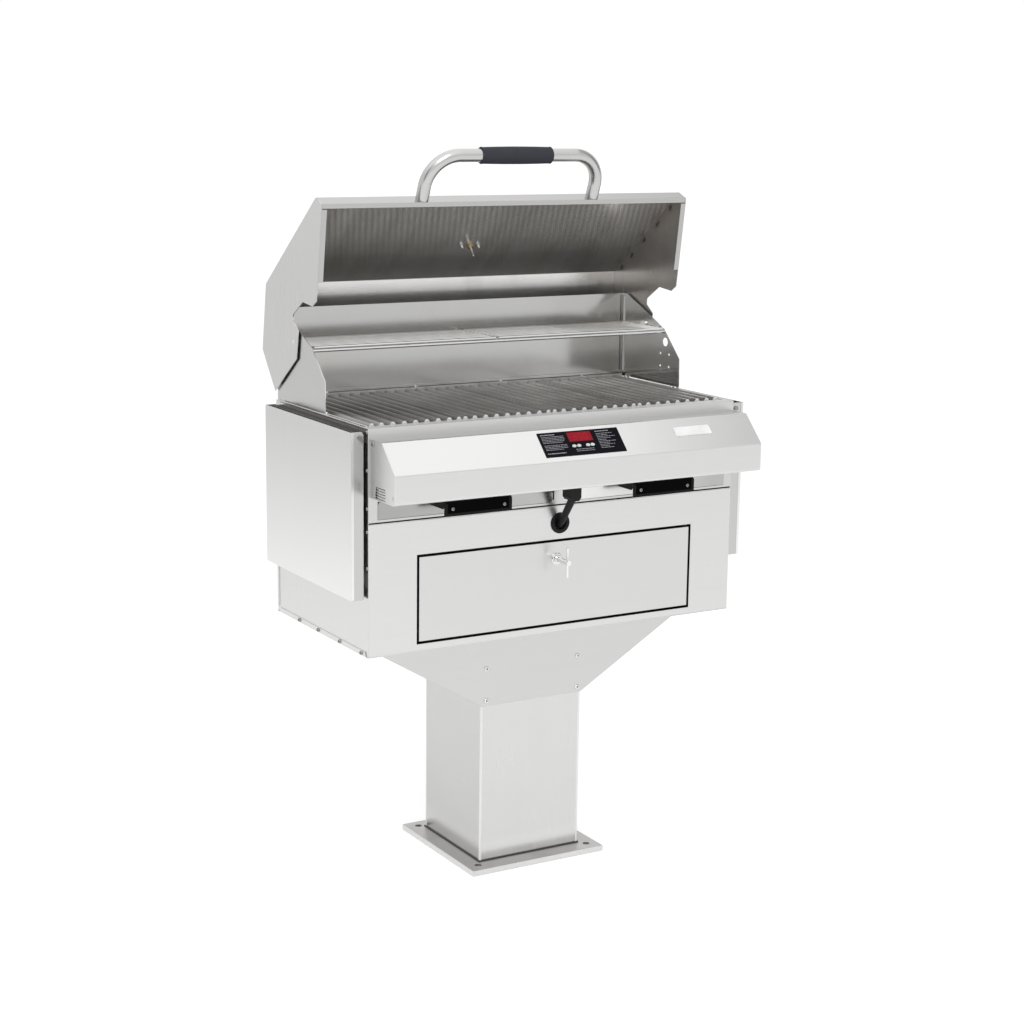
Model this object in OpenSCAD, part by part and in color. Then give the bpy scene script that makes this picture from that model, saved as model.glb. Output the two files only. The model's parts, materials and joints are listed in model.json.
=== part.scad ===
// Pedestal electric grill with lift-up lid, drop-down door, drip trays and folding side shelves
// Millimetres, +Z up, front towards -Y, origin at the centre of the floor plate's underside

/* [Pedestal] */
// Side of the square floor plate
base_side = 304; // [280:1:340]
// Thickness of the floor plate
base_t = 12; // [8:1:16]
// Distance of each anchor hole from the plate's edges
anchor_inset = 25; // [20:1:32]
// Diameter of the anchor holes
anchor_d = 14; // [10:1:18]
// Outside width of the square column
column_w = 229; // [200:1:240]
// Wall of the column
column_wall = 5; // [3:0.5:8]
// Height at which the hopper plates start on the column
hopper_start = 334; // [300:1:370]

/* [Body] */
// Outside width of the body
body_w = 813; // [780:1:860]
// Outside depth of the body, front to back
body_d = 406; // [396:1:430]
// Height of the body's underside
floor_z = 492; // [460:1:540]
// Height of the lower compartment, underside to seam
lower_h = 252; // [245:1:280]
// Height of the firebox, seam to cooking rim
upper_h = 176; // [174:1:190]
// Thickness of the body's sheet
sheet = 1.5; // [1.2:0.1:2]

/* [Door] */
// Width of the door opening
door_w = 617; // [480:1:640]
// Height of the door opening
door_h = 171; // [160:1:185]
// Gap around the door
door_gap = 5; // [4:0.5:6]
// Height of the latch's centre above the opening's lower edge
latch_up = 132.5; // [120:0.5:140]
// Length of the latch's cross bar
latch_bar = 58; // [40:1:70]

/* [Console] */
// Distance that the console stands out from the front
console_out = 99; // [90:1:110]
// Height of the console
console_h = 107.5; // [100:0.5:112]
// Rise and run of the console's sloped face
console_slope = 52.5; // [50:0.5:60]
// Width of the control panel
panel_w = 177; // [150:1:220]

/* [Cooking surface] */
// Number of grates side by side
grate_count = 4; // [4:1:4]
// Bars in each grate
bar_count = 9; // [7:1:10]
// Height of the grate's top above the rim
grate_up = 5; // [3:0.5:6]
// Radius of the heating element's tube
element_r = 4.5; // [3.5:0.5:6]

/* [Lid] */
// Angle between the closed lid and the open lid
lid_open = 82; // [70:1:86]
// Distance of the handle's tube from the lid
handle_out = 89; // [75:1:110]
// Distance between the centres of the handle's legs
handle_w = 381; // [320:1:420]
// Radius of the handle's tube
handle_r = 12.7; // [10:0.1:14]
// Length of the handle's grip
grip_len = 161; // [120:1:180]

/* [Side shelves] */
// Length of each shelf, front to back
shelf_len = 380; // [360:1:385]
// Width of each shelf
shelf_w = 312; // [280:1:330]
// Depth of the shelf's flanges
shelf_deep = 26; // [24:1:27]

/* [Drip trays] */
// Length of each drip tray
tray_len = 350; // [300:1:380]
// Width of each tray's pull
pull_w = 142; // [120:1:170]

/* [Hidden] */
$fn = 48;
hw = body_w / 2;
hd = body_d / 2;
anchor_at = base_side / 2 - anchor_inset;
seam_z = floor_z + lower_h;
rim_z = seam_z + upper_h;
seam_half = 2;
round_fit = 0.05;

column_y = 4;
column_front = column_y - column_w / 2;
column_back = column_y + column_w / 2;
hopper_t = 3;
hopper_top = hw - 26.5;
hopper_rise = floor_z - hopper_start;
hopper_run = hopper_top - column_w / 2;
hopper_len = sqrt(hopper_rise * hopper_rise + hopper_run * hopper_run);

lip_h = 10;
screw_r = 3.5;
screw_h = 2.8;
lip_ends = 8;

door_x = 2;
door_low = floor_z + 14.5;
door_top = door_low + door_h;
door_z = door_low + 23;
door_y = -hd + 9;
door_deep = 15;
door_half = door_w / 2 - door_gap;
pin_r = 2.5;
frame_deep = 13;
latch_x = -3.5;
latch_z = door_low + latch_up;
latch_r = 4;
latch_out = 46;
bar_r = 2.75;
cam_y = -hd + 16;
cam_len = door_top + 8.5 - latch_z;

console_w = body_w - 6;
console_z = rim_z - 18.5;
console_low = console_z - console_h;
console_front = -hd - console_out;
console_bend = 6;
vent_h = 2.5;
slope_y = console_front + console_slope;
cap_t = 1.5;
panel_x = 3.5;
panel_top = 8.5;
panel_h = 55;
panel_edge = 5;
fascia_t = 1.2;
button_x = [-17.3, -6.6, 13.1, 23.1];
button_s = 43.5;
button_w = 8.8;
button_h = 4.8;
button_travel = 1;
display_x = 3.75;
display_w = 52.5;
display_h = 21.5;
display_s = 11.5;
badge_x = console_w / 2 - 145;
badge_s = 20;
badge_w = 84;
badge_h = 21;

plug_y = console_front + 53;
plug_w = 23;
plug_d = 31;
plug_low = console_low - 32;
plug_chamfer = [5, 6];
plug_neck = 7.8;
tail_tilt = 36;
tail_len = 44;
tail_r = [7.5, 6.8];
grommet_x = 3;
grommet_z = seam_z - 35;
grommet_r = 20.5;
grommet_t = 3;
cup_r = 12.5;
neck_r = 15;
neck_len = 8;
cord_r = 6.3;
cord_end = -hd + 4;

gap_x = hw - 16;
gap_mid = -3.5;
gap_front = -hd + 26.5;
gap_back = hd - 14.5;
ledge_z = rim_z - 11.5;
ledge_w = 12;
grate_fit = 0.5;
grate_w = 2 * (gap_x - grate_fit) / grate_count;
bar_base = 15.5;
bar_end = 13;
bar_top = 5;
bar_foot = 1.5;
bar_z = rim_z + grate_up - 8.5;
bar_out = grate_w / 2 - grate_fit - bar_end / 2;
bar_step = 20.15;
bar_pitch = 2 * (bar_out - bar_step) / (bar_count - 3);
cross_w = 10;
liner_z = ledge_z - sheet;
liner_x = gap_x - ledge_w;
liner_front = gap_front + ledge_w;
liner_back = gap_back - ledge_w;
liner_mid = (liner_front + liner_back) / 2;
liner_low = seam_z + 56;
slot_half = 36;
hang = 67;
rest_in = 180;
rest_x = liner_x - rest_in;
rest_t = 6;
rest_h = 8;
element_z = ledge_z - 32.5;
element_pitch = 50;
element_x = liner_x - 40;

tray_end = 14;
tray_gap = 3;
tray_side = 0.5;
tray_out = hw - 19.5;
tray_low = seam_z + 7;
tray_top = seam_z + 40;
tray_round = 8;
tray_corner = 6;
runner_z = tray_low + 4;
pull_x = hw / 2 + 3.25;
pull_out = 53;
pull_low = seam_z + 13;
pull_top = console_low - 6;
pull_t = 3;
pull_end = 19;
pull_back = 14;

wing_x = hw - 2.7;
wing_t = 1.5;
foot_w = 8;
pivot_y = 116;
pivot_z = rim_z + 123;
pivot_r = 5;
spit_y = 36;
spit_z = rim_z + 92;
spit_d = 18;
motor_dy = 31;
motor_dz = 26;
motor_y = spit_y + 0.8;
motor_z = rim_z + 54;
motor_d = 5;
guard_y = hd - 4.5;
guard_h = 180;
guard_z = rim_z + guard_h;
guard_bolt = (wing_x - 3.8) / 4;
wing_pts = [[-17, 0], [-16, 62], [41, 118.5], [94, 142.5], [183, 180]];
wing_foot = [[-17, 10], [168, 196]];
foot_bolts = [-10, 3, 174, 187];
fastener_r = 3.5;
rack_front = 43;
rack_back = 186;
rack_z = rim_z + 113;
rail_r = 3;
rack_r = 3;
wire_r = 2.2;

lid_x = hw + 2.1;
lid_t = 1.5;
skin_x = lid_x - lid_t;
flange_w = 10;
flange_y = [-157, -20];
lid_pts = [[-159, 29.6], [-168, 29.6], [-175, 57.1], [33.8, 262.7], [166.5, 264.1], [223.5, 204.7]];
end_pts = [
    [-168, 29.6], [-175, 57.1], [33.8, 262.7], [166.5, 264.1], [233.5, 194.2],
    [145, 104], [89.8, 102.3], [75.6, 127.9], [63.6, 128.7], [30.1, 89.2], [28.4, 44.9], [15.4, 30]
];
lip_mid = (lid_pts[1] + lid_pts[2]) / 2;
lip_tilt = atan2(lid_pts[1][0] - lid_pts[2][0], lid_pts[2][1] - lid_pts[1][1]);
face_tilt = atan2(lid_pts[3][1] - lid_pts[2][1], lid_pts[3][0] - lid_pts[2][0]);
handle_x = -3;
handle_bend = 63;
grip_r = 16.8;
grip_edge = 1.5;
handle_wall = 2;
dial_x = -5;
dial_s = 173;
dial_r = 38;
stud_dx = 19;
stud_r = 3;

rail_x = hw + 17;
rail_top = rim_z - 8;
rail_h = 19;
shelf_x = hw + 31;
shelf_z = rim_z - 17;
hinge_x = hw + 12.5;
shelf_up = 11;
shelf_front = -shelf_len / 2 - 4;
shelf_back = shelf_len / 2 - 4;
shelf_low = shelf_z + shelf_up - shelf_w;
shelf_edge = shelf_x - shelf_deep;
bolt_r = 3.5;
bolt_head = 4.5;
rail_end = 6;
shelf_play = 0.5;

steel = [0.78, 0.79, 0.80];
bright = [0.88, 0.89, 0.90];
black = [0.08, 0.08, 0.09];
dark = [0.35, 0.35, 0.36];

module slab(x0, x1, y0, y1, z0, z1) {
    translate([x0, y0, z0]) cube([x1 - x0, y1 - y0, z1 - z0]);
}

module pair(x0, x1, y0, y1, z0, z1) {
    slab(x0, x1, y0, y1, z0, z1);
    slab(-x1, -x0, y0, y1, z0, z1);
}

module span_x(x0, x1) {
    translate([x0, 0, 0]) rotate([90, 0, 90]) linear_extrude(x1 - x0) children();
}

module span_y(y0, y1) {
    translate([0, y1, 0]) rotate([90, 0, 0]) linear_extrude(y1 - y0) children();
}

module rod_x(x0, x1, y, z, r) {
    translate([x0, y, z]) rotate([0, 90, 0]) cylinder(h = x1 - x0, r = r);
}

module rod_y(y0, y1, x, z, r) {
    translate([x, y1, z]) rotate([90, 0, 0]) cylinder(h = y1 - y0, r = r);
}

module rod_z(z0, z1, x, y, r) {
    translate([x, y, z0]) cylinder(h = z1 - z0, r = r);
}

module soft_square(w, d, r) {
    square([w - 2 * r, d], center = true);
    square([w, d - 2 * r], center = true);
    for (i = [-1, 1], j = [-1, 1]) translate([i * (w / 2 - r), j * (d / 2 - r)]) circle(r);
}

// Unit direction and left-hand normal of a line between two points
function dir(a, b) = (b - a) / norm(b - a);
function side(d) = [d[1], -d[0]];
function mitre(p, i, t) =
    i == 0 ? t * side(dir(p[0], p[1]))
    : i == len(p) - 1 ? t * side(dir(p[i - 1], p[i]))
    : t * (side(dir(p[i - 1], p[i])) + side(dir(p[i], p[i + 1])))
        / (1 + dir(p[i - 1], p[i]) * dir(p[i], p[i + 1]));
function back_row(p, t) = [for (i = [len(p) - 1:-1:0]) p[i] + mitre(p, i, t)];

module strip(p, t) {
    polygon(concat(p, back_row(p, t)));
}

// Closed outline with the named corners rounded
function half_angle(a, b, c) = acos(dir(b, a) * dir(b, c)) / 2;
function cut_corner(a, b, c, r) = let (s = r / tan(half_angle(a, b, c)))
    [b + s * dir(b, a), b + s * dir(b, c)];
function round_mid(a, b, c, r) = b + r / sin(half_angle(a, b, c)) * dir([0, 0], dir(b, a) + dir(b, c));

module bent(p, corners, r) {
    n = len(p);
    polygon([for (i = [0:n - 1])
        each len(search(i, corners)) > 0 ? cut_corner(p[(i + n - 1) % n], p[i], p[(i + 1) % n], r) : [p[i]]]);
    for (i = corners) translate(round_mid(p[i - 1], p[i], p[i + 1], r)) circle(r);
}

// Pedestal
module base_plate() {
    color(steel) difference() {
        slab(-base_side / 2, base_side / 2, -base_side / 2, base_side / 2, 0, base_t);
        for (i = [-1, 1], j = [-1, 1])
            rod_z(-1, base_t + 1, i * anchor_at, j * anchor_at, anchor_d / 2);
    }
}

module column() {
    color(steel) translate([0, column_y, base_t]) linear_extrude(floor_z - base_t) difference() {
        soft_square(column_w, column_w, 4);
        square(column_w - 2 * column_wall, center = true);
    }
}

module hopper_outline() {
    polygon([
        [-column_w / 2, hopper_start], [column_w / 2, hopper_start],
        [hopper_top, floor_z], [-hopper_top, floor_z]
    ]);
}

module hopper_front() {
    color(steel) span_y(column_front - hopper_t, column_front) hopper_outline();
}

module hopper_cheek() {
    polygon([
        [column_w / 2, hopper_start], [hopper_top, floor_z],
        [hopper_top - hopper_t * hopper_len / hopper_rise, floor_z],
        [column_w / 2, hopper_start + hopper_t * hopper_len / hopper_run]
    ]);
}

module hopper_shell() {
    color(steel) {
        span_y(column_back, column_back + hopper_t) hopper_outline();
        span_y(column_front, column_back) hopper_cheek();
        mirror([1, 0, 0]) span_y(column_front, column_back) hopper_cheek();
    }
}

module hopper_screws() {
    color(bright) for (x = [-1, 1], z = [11, 76])
        rod_y(column_front - hopper_t - 3, column_front - hopper_t,
            x * (column_w / 2 - 9.5), hopper_start + z, 5);
}

// Body
module side_panel(s) {
    color(steel) {
        slab(s > 0 ? hw - sheet : -hw, s > 0 ? hw : sheet - hw,
            -hd + sheet, hd - sheet, floor_z + sheet, rim_z);
    }
}

module side_panel_left() {
    side_panel(-1);
}

module side_panel_right() {
    side_panel(1);
}

module rear_panel() {
    color(steel) {
        slab(-hw, hw, hd - sheet, hd, floor_z + sheet, rim_z);
        pair(hw, hw + sheet, hd - 8, hd, floor_z + lip_h + 2, seam_z);
    }
}

module door_hole() {
    translate([door_x - door_w / 2, door_low]) square([door_w, door_h]);
}

module lower_front() {
    color(steel) difference() {
        union() {
            slab(-hw, hw, -hd, -hd + sheet, floor_z + sheet, seam_z - seam_half);
            span_y(-hd, -hd + frame_deep) translate([door_x - door_w / 2 - sheet, door_low - sheet])
                square([door_w + 2 * sheet, door_h + 2 * sheet]);
        }
        span_y(-hd - 1, -hd + frame_deep + 1) door_hole();
        rod_y(-hd - 1, -hd + sheet + 1, grommet_x, grommet_z, neck_r);
        rod_x(door_x - door_w / 2 - 5, door_x + door_w / 2 + 5, door_y, door_z, pin_r + round_fit);
    }
}

module floor_pan() {
    color(steel) {
        slab(-hw - sheet, hw + sheet, -hd, hd, floor_z, floor_z + sheet);
        for (s = [-1, 1]) span_x(s > 0 ? hw : -hw - sheet, s > 0 ? hw + sheet : -hw) polygon([
            [-hd + lip_ends, floor_z], [hd - lip_ends - 2, floor_z],
            [hd - lip_ends - 6, floor_z + lip_h], [-hd + lip_ends + 4, floor_z + lip_h]
        ]);
    }
}

module case_screws() {
    color(bright) for (s = [-1, 1]) {
        for (z = [rim_z - 7, rim_z - 77, rim_z - 148, seam_z - 15, seam_z - 83])
            rod_x(s > 0 ? hw : -hw - screw_h, s > 0 ? hw + screw_h : -hw, -hd + 5, z, screw_r);
        for (y = [-176, -84, 11, 97])
            rod_x(s > 0 ? hw + sheet : -hw - sheet - 3, s > 0 ? hw + sheet + 3 : -hw - sheet,
                y, floor_z + 5, 4);
        for (y = [-108, 99, 153])
            rod_x(s > 0 ? rail_x : -rail_x - 3, s > 0 ? rail_x + 3 : -rail_x, y, rail_top - 7, 4);
        rod_x(s > 0 ? console_w / 2 : -console_w / 2 - 2.4, s > 0 ? console_w / 2 + 2.4 : -console_w / 2,
            -hd - 12.7, console_z - 8.5, 4.5);
    }
}

module upper_front() {
    color(steel) difference() {
        slab(-hw, hw, -hd, -hd + sheet, seam_z + seam_half, rim_z);
        pair(tray_end - tray_gap, tray_out + tray_side, -hd - 1, -hd + sheet + 1,
            tray_low - tray_side, tray_top + tray_side);
    }
}

module side_rails() {
    color(steel) for (s = [0, 1]) mirror([s, 0, 0]) difference() {
        slab(hw, rail_x, shelf_front + sheet + shelf_play, shelf_back - sheet - shelf_play,
            rail_top - rail_h, rail_top);
        slab(hw + sheet, rail_x - sheet, shelf_front + sheet + shelf_play + rail_end,
            shelf_back - sheet - shelf_play - rail_end, rail_top - rail_h - 1, rail_top - sheet);
        rod_y(shelf_front, shelf_back, hinge_x, shelf_z, bolt_r);
    }
}

module rim_frame() {
    color(bright) difference() {
        union() {
            slab(-hw + sheet, hw - sheet, -hd + sheet, hd - sheet, rim_z - sheet, rim_z);
            translate([gap_mid, 0, 0])
                slab(-gap_x - sheet, gap_x + sheet, gap_front - sheet, gap_back + sheet, liner_z, rim_z);
        }
        translate([gap_mid, 0, 0]) {
            slab(-gap_x, gap_x, gap_front, gap_back, ledge_z, rim_z + 1);
            slab(-liner_x, liner_x, liner_front, liner_back, liner_z - 1, ledge_z + 1);
            pair(gap_x + 4, gap_x + 9, gap_front - 4, gap_front + 21, rim_z - sheet - 1, rim_z + 1);
        }
    }
}

module liner_wall() {
    polygon([
        [liner_front, liner_z], [liner_front + sheet, liner_z], [liner_front + sheet, liner_z - hang],
        [liner_mid - slot_half, liner_low + sheet], [liner_mid - slot_half, liner_low],
        [liner_front, liner_z - hang - sheet]
    ]);
}

module firebox_liner() {
    color(dark) translate([gap_mid, 0, 0]) difference() {
        union() {
            span_x(-liner_x, liner_x) liner_wall();
            translate([0, 2 * liner_mid, 0]) mirror([0, 1, 0]) span_x(-liner_x, liner_x) liner_wall();
            for (x = [-liner_x, liner_x - sheet]) span_x(x, x + sheet) polygon([
                [liner_front, liner_z], [liner_back, liner_z], [liner_back, liner_z - hang - sheet],
                [liner_mid + slot_half, liner_low], [liner_mid - slot_half, liner_low],
                [liner_front, liner_z - hang - sheet]
            ]);
        }
        for (s = [-1, 1])
            rod_x(-liner_x - 1, -liner_x + sheet + 1,
                liner_mid + s * 2.5 * element_pitch, element_z, element_r);
    }
}

// Cross bars that the element lies on
module element_rests() {
    color(dark) for (x = [-rest_x, rest_x])
        slab(gap_mid + x - rest_t / 2, gap_mid + x + rest_t / 2, liner_front + sheet, liner_back - sheet,
            element_z - element_r - rest_h, element_z - element_r);
}

module element_bend(x, y, a) {
    translate([x, y, element_z]) rotate([0, 0, a]) rotate_extrude(angle = 180)
        translate([element_pitch / 2, 0]) circle(element_r);
}

module heating_element() {
    color(dark) translate([gap_mid, 0, 0]) {
        for (i = [0:5]) rod_x((i == 0 || i == 5) ? -liner_x - 18 : -element_x, element_x,
            liner_mid + (i - 2.5) * element_pitch, element_z, element_r);
        for (i = [0, 2, 4]) element_bend(element_x, liner_mid + (i - 2) * element_pitch, -90);
        for (i = [1, 3]) element_bend(-element_x, liner_mid + (i - 2) * element_pitch, 90);
    }
}

module tray_runners() {
    color(steel) {
        pair(tray_out - 12, hw - sheet, -hd + sheet, hd - sheet, seam_z + seam_half, runner_z);
        slab(-tray_end - 12, tray_end + 12, -hd + sheet, hd - sheet, seam_z + seam_half, runner_z);
    }
}

// Wings and back guard
module wing_outline() {
    difference() {
        translate([0, rim_z]) polygon(concat(wing_pts, [
            [guard_y, guard_z - rim_z], [hd - sheet, guard_z - rim_z - 8], [hd - sheet, 0]
        ]));
        translate([wing_foot[0][1], rim_z - 1]) square([wing_foot[1][0] - wing_foot[0][1], 4]);
        translate([pivot_y, pivot_z]) circle(pivot_r);
    }
}

module wing_feet(s) {
    for (y = wing_foot) slab(
        s > 0 ? wing_x - wing_t - foot_w : -wing_x, s > 0 ? wing_x : -wing_x + wing_t + foot_w,
        y[0], y[1], rim_z, rim_z + wing_t);
}

module wing_left() {
    color(steel) {
        span_x(-wing_x, -wing_x + wing_t) wing_outline();
        wing_feet(-1);
    }
}

module wing_right() {
    color(steel) {
        span_x(wing_x - wing_t, wing_x) difference() {
            wing_outline();
            translate([spit_y, spit_z]) circle(spit_d / 2);
            for (i = [-1, 1], j = [-1, 1])
                translate([motor_y + i * motor_dy / 2, motor_z + j * motor_dz / 2]) circle(motor_d / 2);
        }
        wing_feet(1);
    }
}

module back_guard() {
    guard_x = wing_x - wing_t;
    color(steel) {
        slab(-guard_x, guard_x, guard_y, guard_y + sheet, rim_z, guard_z);
        slab(-guard_x, guard_x, guard_y - 2.5, guard_y, rim_z, rim_z + 14);
        pair(guard_x - sheet, guard_x, rack_back + 6, guard_y, rim_z + 14, guard_z - 4);
    }
}

module wing_fasteners() {
    foot = wing_x - wing_t - foot_w / 2;
    color(bright) {
        for (x = [-foot, foot], y = foot_bolts)
            rod_z(rim_z + wing_t, rim_z + wing_t + 2.5, x, y, fastener_r);
        for (i = [-3, -1, 1, 3]) rod_y(guard_y - 4.5, guard_y - 2.5, i * guard_bolt, rim_z + 7, fastener_r);
    }
}

module lid_pivots() {
    color(bright) for (s = [0, 1]) mirror([s, 0, 0]) {
        rod_x(wing_x - wing_t - 2, lid_x - 0.2, pivot_y, pivot_z, pivot_r);
        rod_x(wing_x - wing_t - 2.5, wing_x - wing_t, pivot_y, pivot_z, 8);
    }
}

module rack_rails() {
    color(bright) for (y = [rack_front, rack_back])
        rod_x(-wing_x + wing_t, wing_x - wing_t, y, rack_z, rail_r);
}

// Console
module on_slope() {
    translate([0, slope_y, console_z]) rotate([45, 0, 0]) children();
}

module console_outline(t) {
    bent([
        [-hd, console_z - t], [slope_y - 0.41 * t, console_z - t],
        [console_front + t, console_z - console_slope - 0.41 * t],
        [console_front + t, console_low + t], [-hd, console_low + t]
    ], [1, 2, 3], console_bend - t);
}

module console_body() {
    inner = console_w / 2 - cap_t;
    color(steel) difference() {
        span_x(-inner, inner) difference() {
            console_outline(0);
            console_outline(sheet);
        }
        on_slope() translate([panel_x - panel_w / 2 + panel_edge, -panel_top - panel_h + panel_edge, -6])
            cube([panel_w - 2 * panel_edge, panel_h - 2 * panel_edge, 12]);
        slab(-plug_neck - 0.2, plug_neck + 0.2, plug_y - plug_neck - 0.2, plug_y + plug_neck + 0.2,
            console_low - 1, console_low + sheet + 1);
    }
}

module console_caps() {
    color(steel) for (s = [0, 1]) mirror([s, 0, 0]) difference() {
        span_x(console_w / 2 - cap_t, console_w / 2) console_outline(0);
        for (z = [3:5:18])
            slab(console_w / 2 - 5, hw, -hd - 62, -hd - 22, console_low + z, console_low + z + vent_h);
        slab(console_w / 2 - 5, hw, console_front + 6.5, console_front + 8,
            console_low + 9, console_low + 17);
    }
}

module control_module() {
    pocket = 0.3;
    color(black) on_slope() difference() {
        union() {
            translate([panel_x - panel_w / 2, -panel_top - panel_h, 0]) cube([panel_w, panel_h, fascia_t]);
            translate([panel_x - panel_w / 2 + panel_edge, -panel_top - panel_h + panel_edge, -28])
                cube([panel_w - 2 * panel_edge, panel_h - 2 * panel_edge, 28]);
        }
        translate([display_x - display_w / 2, -display_s - display_h, fascia_t - 0.6])
                cube([display_w, display_h, 2]);
        for (x = button_x) translate([x - button_w / 2 - pocket, -button_s - button_h / 2 - pocket, -5])
            cube([button_w + 2 * pocket, button_h + 2 * pocket, 10]);
    }
}

module button(i) {
    color(bright) on_slope()
        translate([button_x[i] - button_w / 2, -button_s - button_h / 2, -5 + button_travel + 0.3])
        cube([button_w, button_h, 5 + fascia_t + 0.2]);
}

module button_1() {
    button(0);
}

module button_2() {
    button(1);
}

module button_3() {
    button(2);
}

module button_4() {
    button(3);
}

module badge_plate() {
    color(bright) on_slope() translate([badge_x, -badge_s - badge_h / 2, 0])
        linear_extrude(1.2) soft_square(badge_w, badge_h, 3);
}

module plug_tail(r0, r1, start) {
    translate([0, plug_y, plug_low]) rotate([180 + tail_tilt, 0, 0]) translate([0, 0, start])
        cylinder(h = tail_len - start, r1 = r0, r2 = r1);
}

module power_plug() {
    color(black) {
        span_y(plug_y - plug_d / 2, plug_y + plug_d / 2) polygon([
            [-plug_w / 2, console_low], [plug_w / 2, console_low], [plug_w / 2, plug_low + plug_chamfer[1]],
            [plug_w / 2 - plug_chamfer[0], plug_low], [-plug_w / 2 + plug_chamfer[0], plug_low],
            [-plug_w / 2, plug_low + plug_chamfer[1]]
        ]);
        slab(-plug_neck, plug_neck, plug_y - plug_neck, plug_y + plug_neck, console_low - 1, console_low + 8);
        difference() {
            plug_tail(tail_r[0], tail_r[1], -5);
            translate([0, plug_y, plug_low]) rotate([180 + tail_tilt, 0, 0]) translate([0, 0, -20])
                cylinder(h = tail_len + 30, r = cord_r + 0.1);
        }
    }
}

module cord_grommet() {
    color(black) difference() {
        union() {
            rod_y(-hd - grommet_t, -hd, grommet_x, grommet_z, grommet_r);
            rod_y(-hd, -hd + neck_len, grommet_x, grommet_z, neck_r);
        }
        rod_y(-hd - grommet_t - 1, cord_end, grommet_x, grommet_z, cup_r);
    }
}

// Cord swept along chosen points, one ring of corners at each, cut flush at both ends
cord_pts = [
    [0, plug_y, plug_low], [0, plug_y + 9, plug_low - 12.4], [0, plug_y + 18, plug_low - 24.8],
    [0, plug_y + 27, plug_low - 37.2], [0.6, cord_end - 17, grommet_z + 8.4],
    [1.8, cord_end - 10.5, grommet_z + 2.2],
    [grommet_x, cord_end - 4, grommet_z - 2.7], [grommet_x, cord_end, grommet_z - 5]
];
cord_sides = 12;
cord_last = len(cord_pts) - 1;
function cord_dir(i) = dir(cord_pts[max(i - 1, 0)], cord_pts[min(i + 1, cord_last)]);
function cord_cut(i) = i == 0 ? [0, 0, -1] : i == cord_last ? [0, 1, 0] : cord_dir(i);
function ring(i) = let (c = cord_cut(i), n = [0, -c[2], c[1]] / (c * cord_dir(i)))
    [for (k = [0:cord_sides - 1]) cord_pts[i]
        + cord_r * (cos(360 * k / cord_sides) * [1, 0, 0] + sin(360 * k / cord_sides) * n)];

module power_cord() {
    last = cord_last * cord_sides;
    color(black) polyhedron(
        points = [for (i = [0:cord_last]) each ring(i)],
        faces = concat(
            [[for (k = [0:cord_sides - 1]) k]],
            [for (i = [0:cord_last - 1], k = [0:cord_sides - 1])
                [i * cord_sides + k, (i + 1) * cord_sides + k, (i + 1) * cord_sides + (k + 1) % cord_sides,
                    i * cord_sides + (k + 1) % cord_sides]],
            [[for (k = [cord_sides - 1:-1:0]) last + k]]
        )
    );
}

// Lid, drawn closed and turned open about its pivots
module lifted() {
    translate([0, pivot_y, pivot_z]) rotate([-lid_open, 0, 0]) translate([0, -pivot_y, -pivot_z])
        translate([0, 0, rim_z]) children();
}

module on_lip() {
    lifted() translate([0, lip_mid[0], lip_mid[1]]) rotate([90 + lip_tilt, 0, 0]) children();
}

module on_face() {
    lifted() translate([0, lid_pts[2][0], lid_pts[2][1]]) rotate([face_tilt, 0, 0])
        translate([dial_x, dial_s, 0]) children();
}

module lid_skin() {
    color(steel) difference() {
        lifted() span_x(-skin_x, skin_x) strip(lid_pts, lid_t);
        for (x = [-stud_dx, 0, stud_dx]) on_face() translate([x, 0, -5]) cylinder(h = 10, r = stud_r + 0.2);
    }
}

module lid_end(s) {
    color(steel) difference() {
        lifted() {
            span_x(s > 0 ? skin_x : -lid_x, s > 0 ? lid_x : -skin_x) polygon(end_pts);
            slab(s > 0 ? skin_x - flange_w : -skin_x, s > 0 ? skin_x : -skin_x + flange_w,
                flange_y[0], flange_y[1], lid_pts[0][1], lid_pts[0][1] + lid_t);
        }
        rod_x(-lid_x - 1, lid_x + 1, pivot_y, pivot_z, pivot_r + round_fit);
    }
}

module lid_end_left() {
    lid_end(-1);
}

module lid_end_right() {
    lid_end(1);
}

module handle_path(r) {
    half = handle_w / 2;
    for (x = [-half, half]) translate([x, 0, 0]) cylinder(h = handle_out - handle_bend, r = r);
    for (s = [0, 1]) mirror([s, 0, 0]) translate([half - handle_bend, 0, handle_out - handle_bend])
        rotate([90, 0, 0]) rotate_extrude(angle = 90) translate([handle_bend, 0]) circle(r);
    translate([-half + handle_bend, 0, handle_out]) rotate([0, 90, 0])
        cylinder(h = handle_w - 2 * handle_bend, r = r);
}

module lid_handle() {
    color(bright) on_lip() translate([handle_x, 0, 0]) difference() {
        handle_path(handle_r);
        handle_path(handle_r - handle_wall);
    }
}

module handle_grip() {
    color(black) on_lip() translate([handle_x, 0, handle_out]) rotate([0, 90, 0]) difference() {
        union() {
            cylinder(h = grip_len - 2 * grip_edge, r = grip_r, center = true);
            for (s = [0, 1]) mirror([0, 0, s]) translate([0, 0, grip_len / 2 - grip_edge])
                cylinder(h = grip_edge, r1 = grip_r, r2 = grip_r - grip_edge);
        }
        cylinder(h = grip_len + 2, r = handle_r, center = true);
    }
}

module thermometer() {
    color(bright) on_face() {
        cylinder(h = 10, r = dial_r);
        translate([0, 0, 10]) cylinder(h = 4, r = dial_r - 3);
        translate([0, 0, -28]) cylinder(h = 28, r = stud_r);
        translate([0, 0, -lid_t - 7]) cylinder(h = 7, r = 8);
        for (x = [-stud_dx, stud_dx]) {
            translate([x, 0, -9]) cylinder(h = 9, r = stud_r);
            translate([x, 0, -lid_t - 4]) cylinder(h = 4, r = 5);
        }
    }
}

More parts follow.
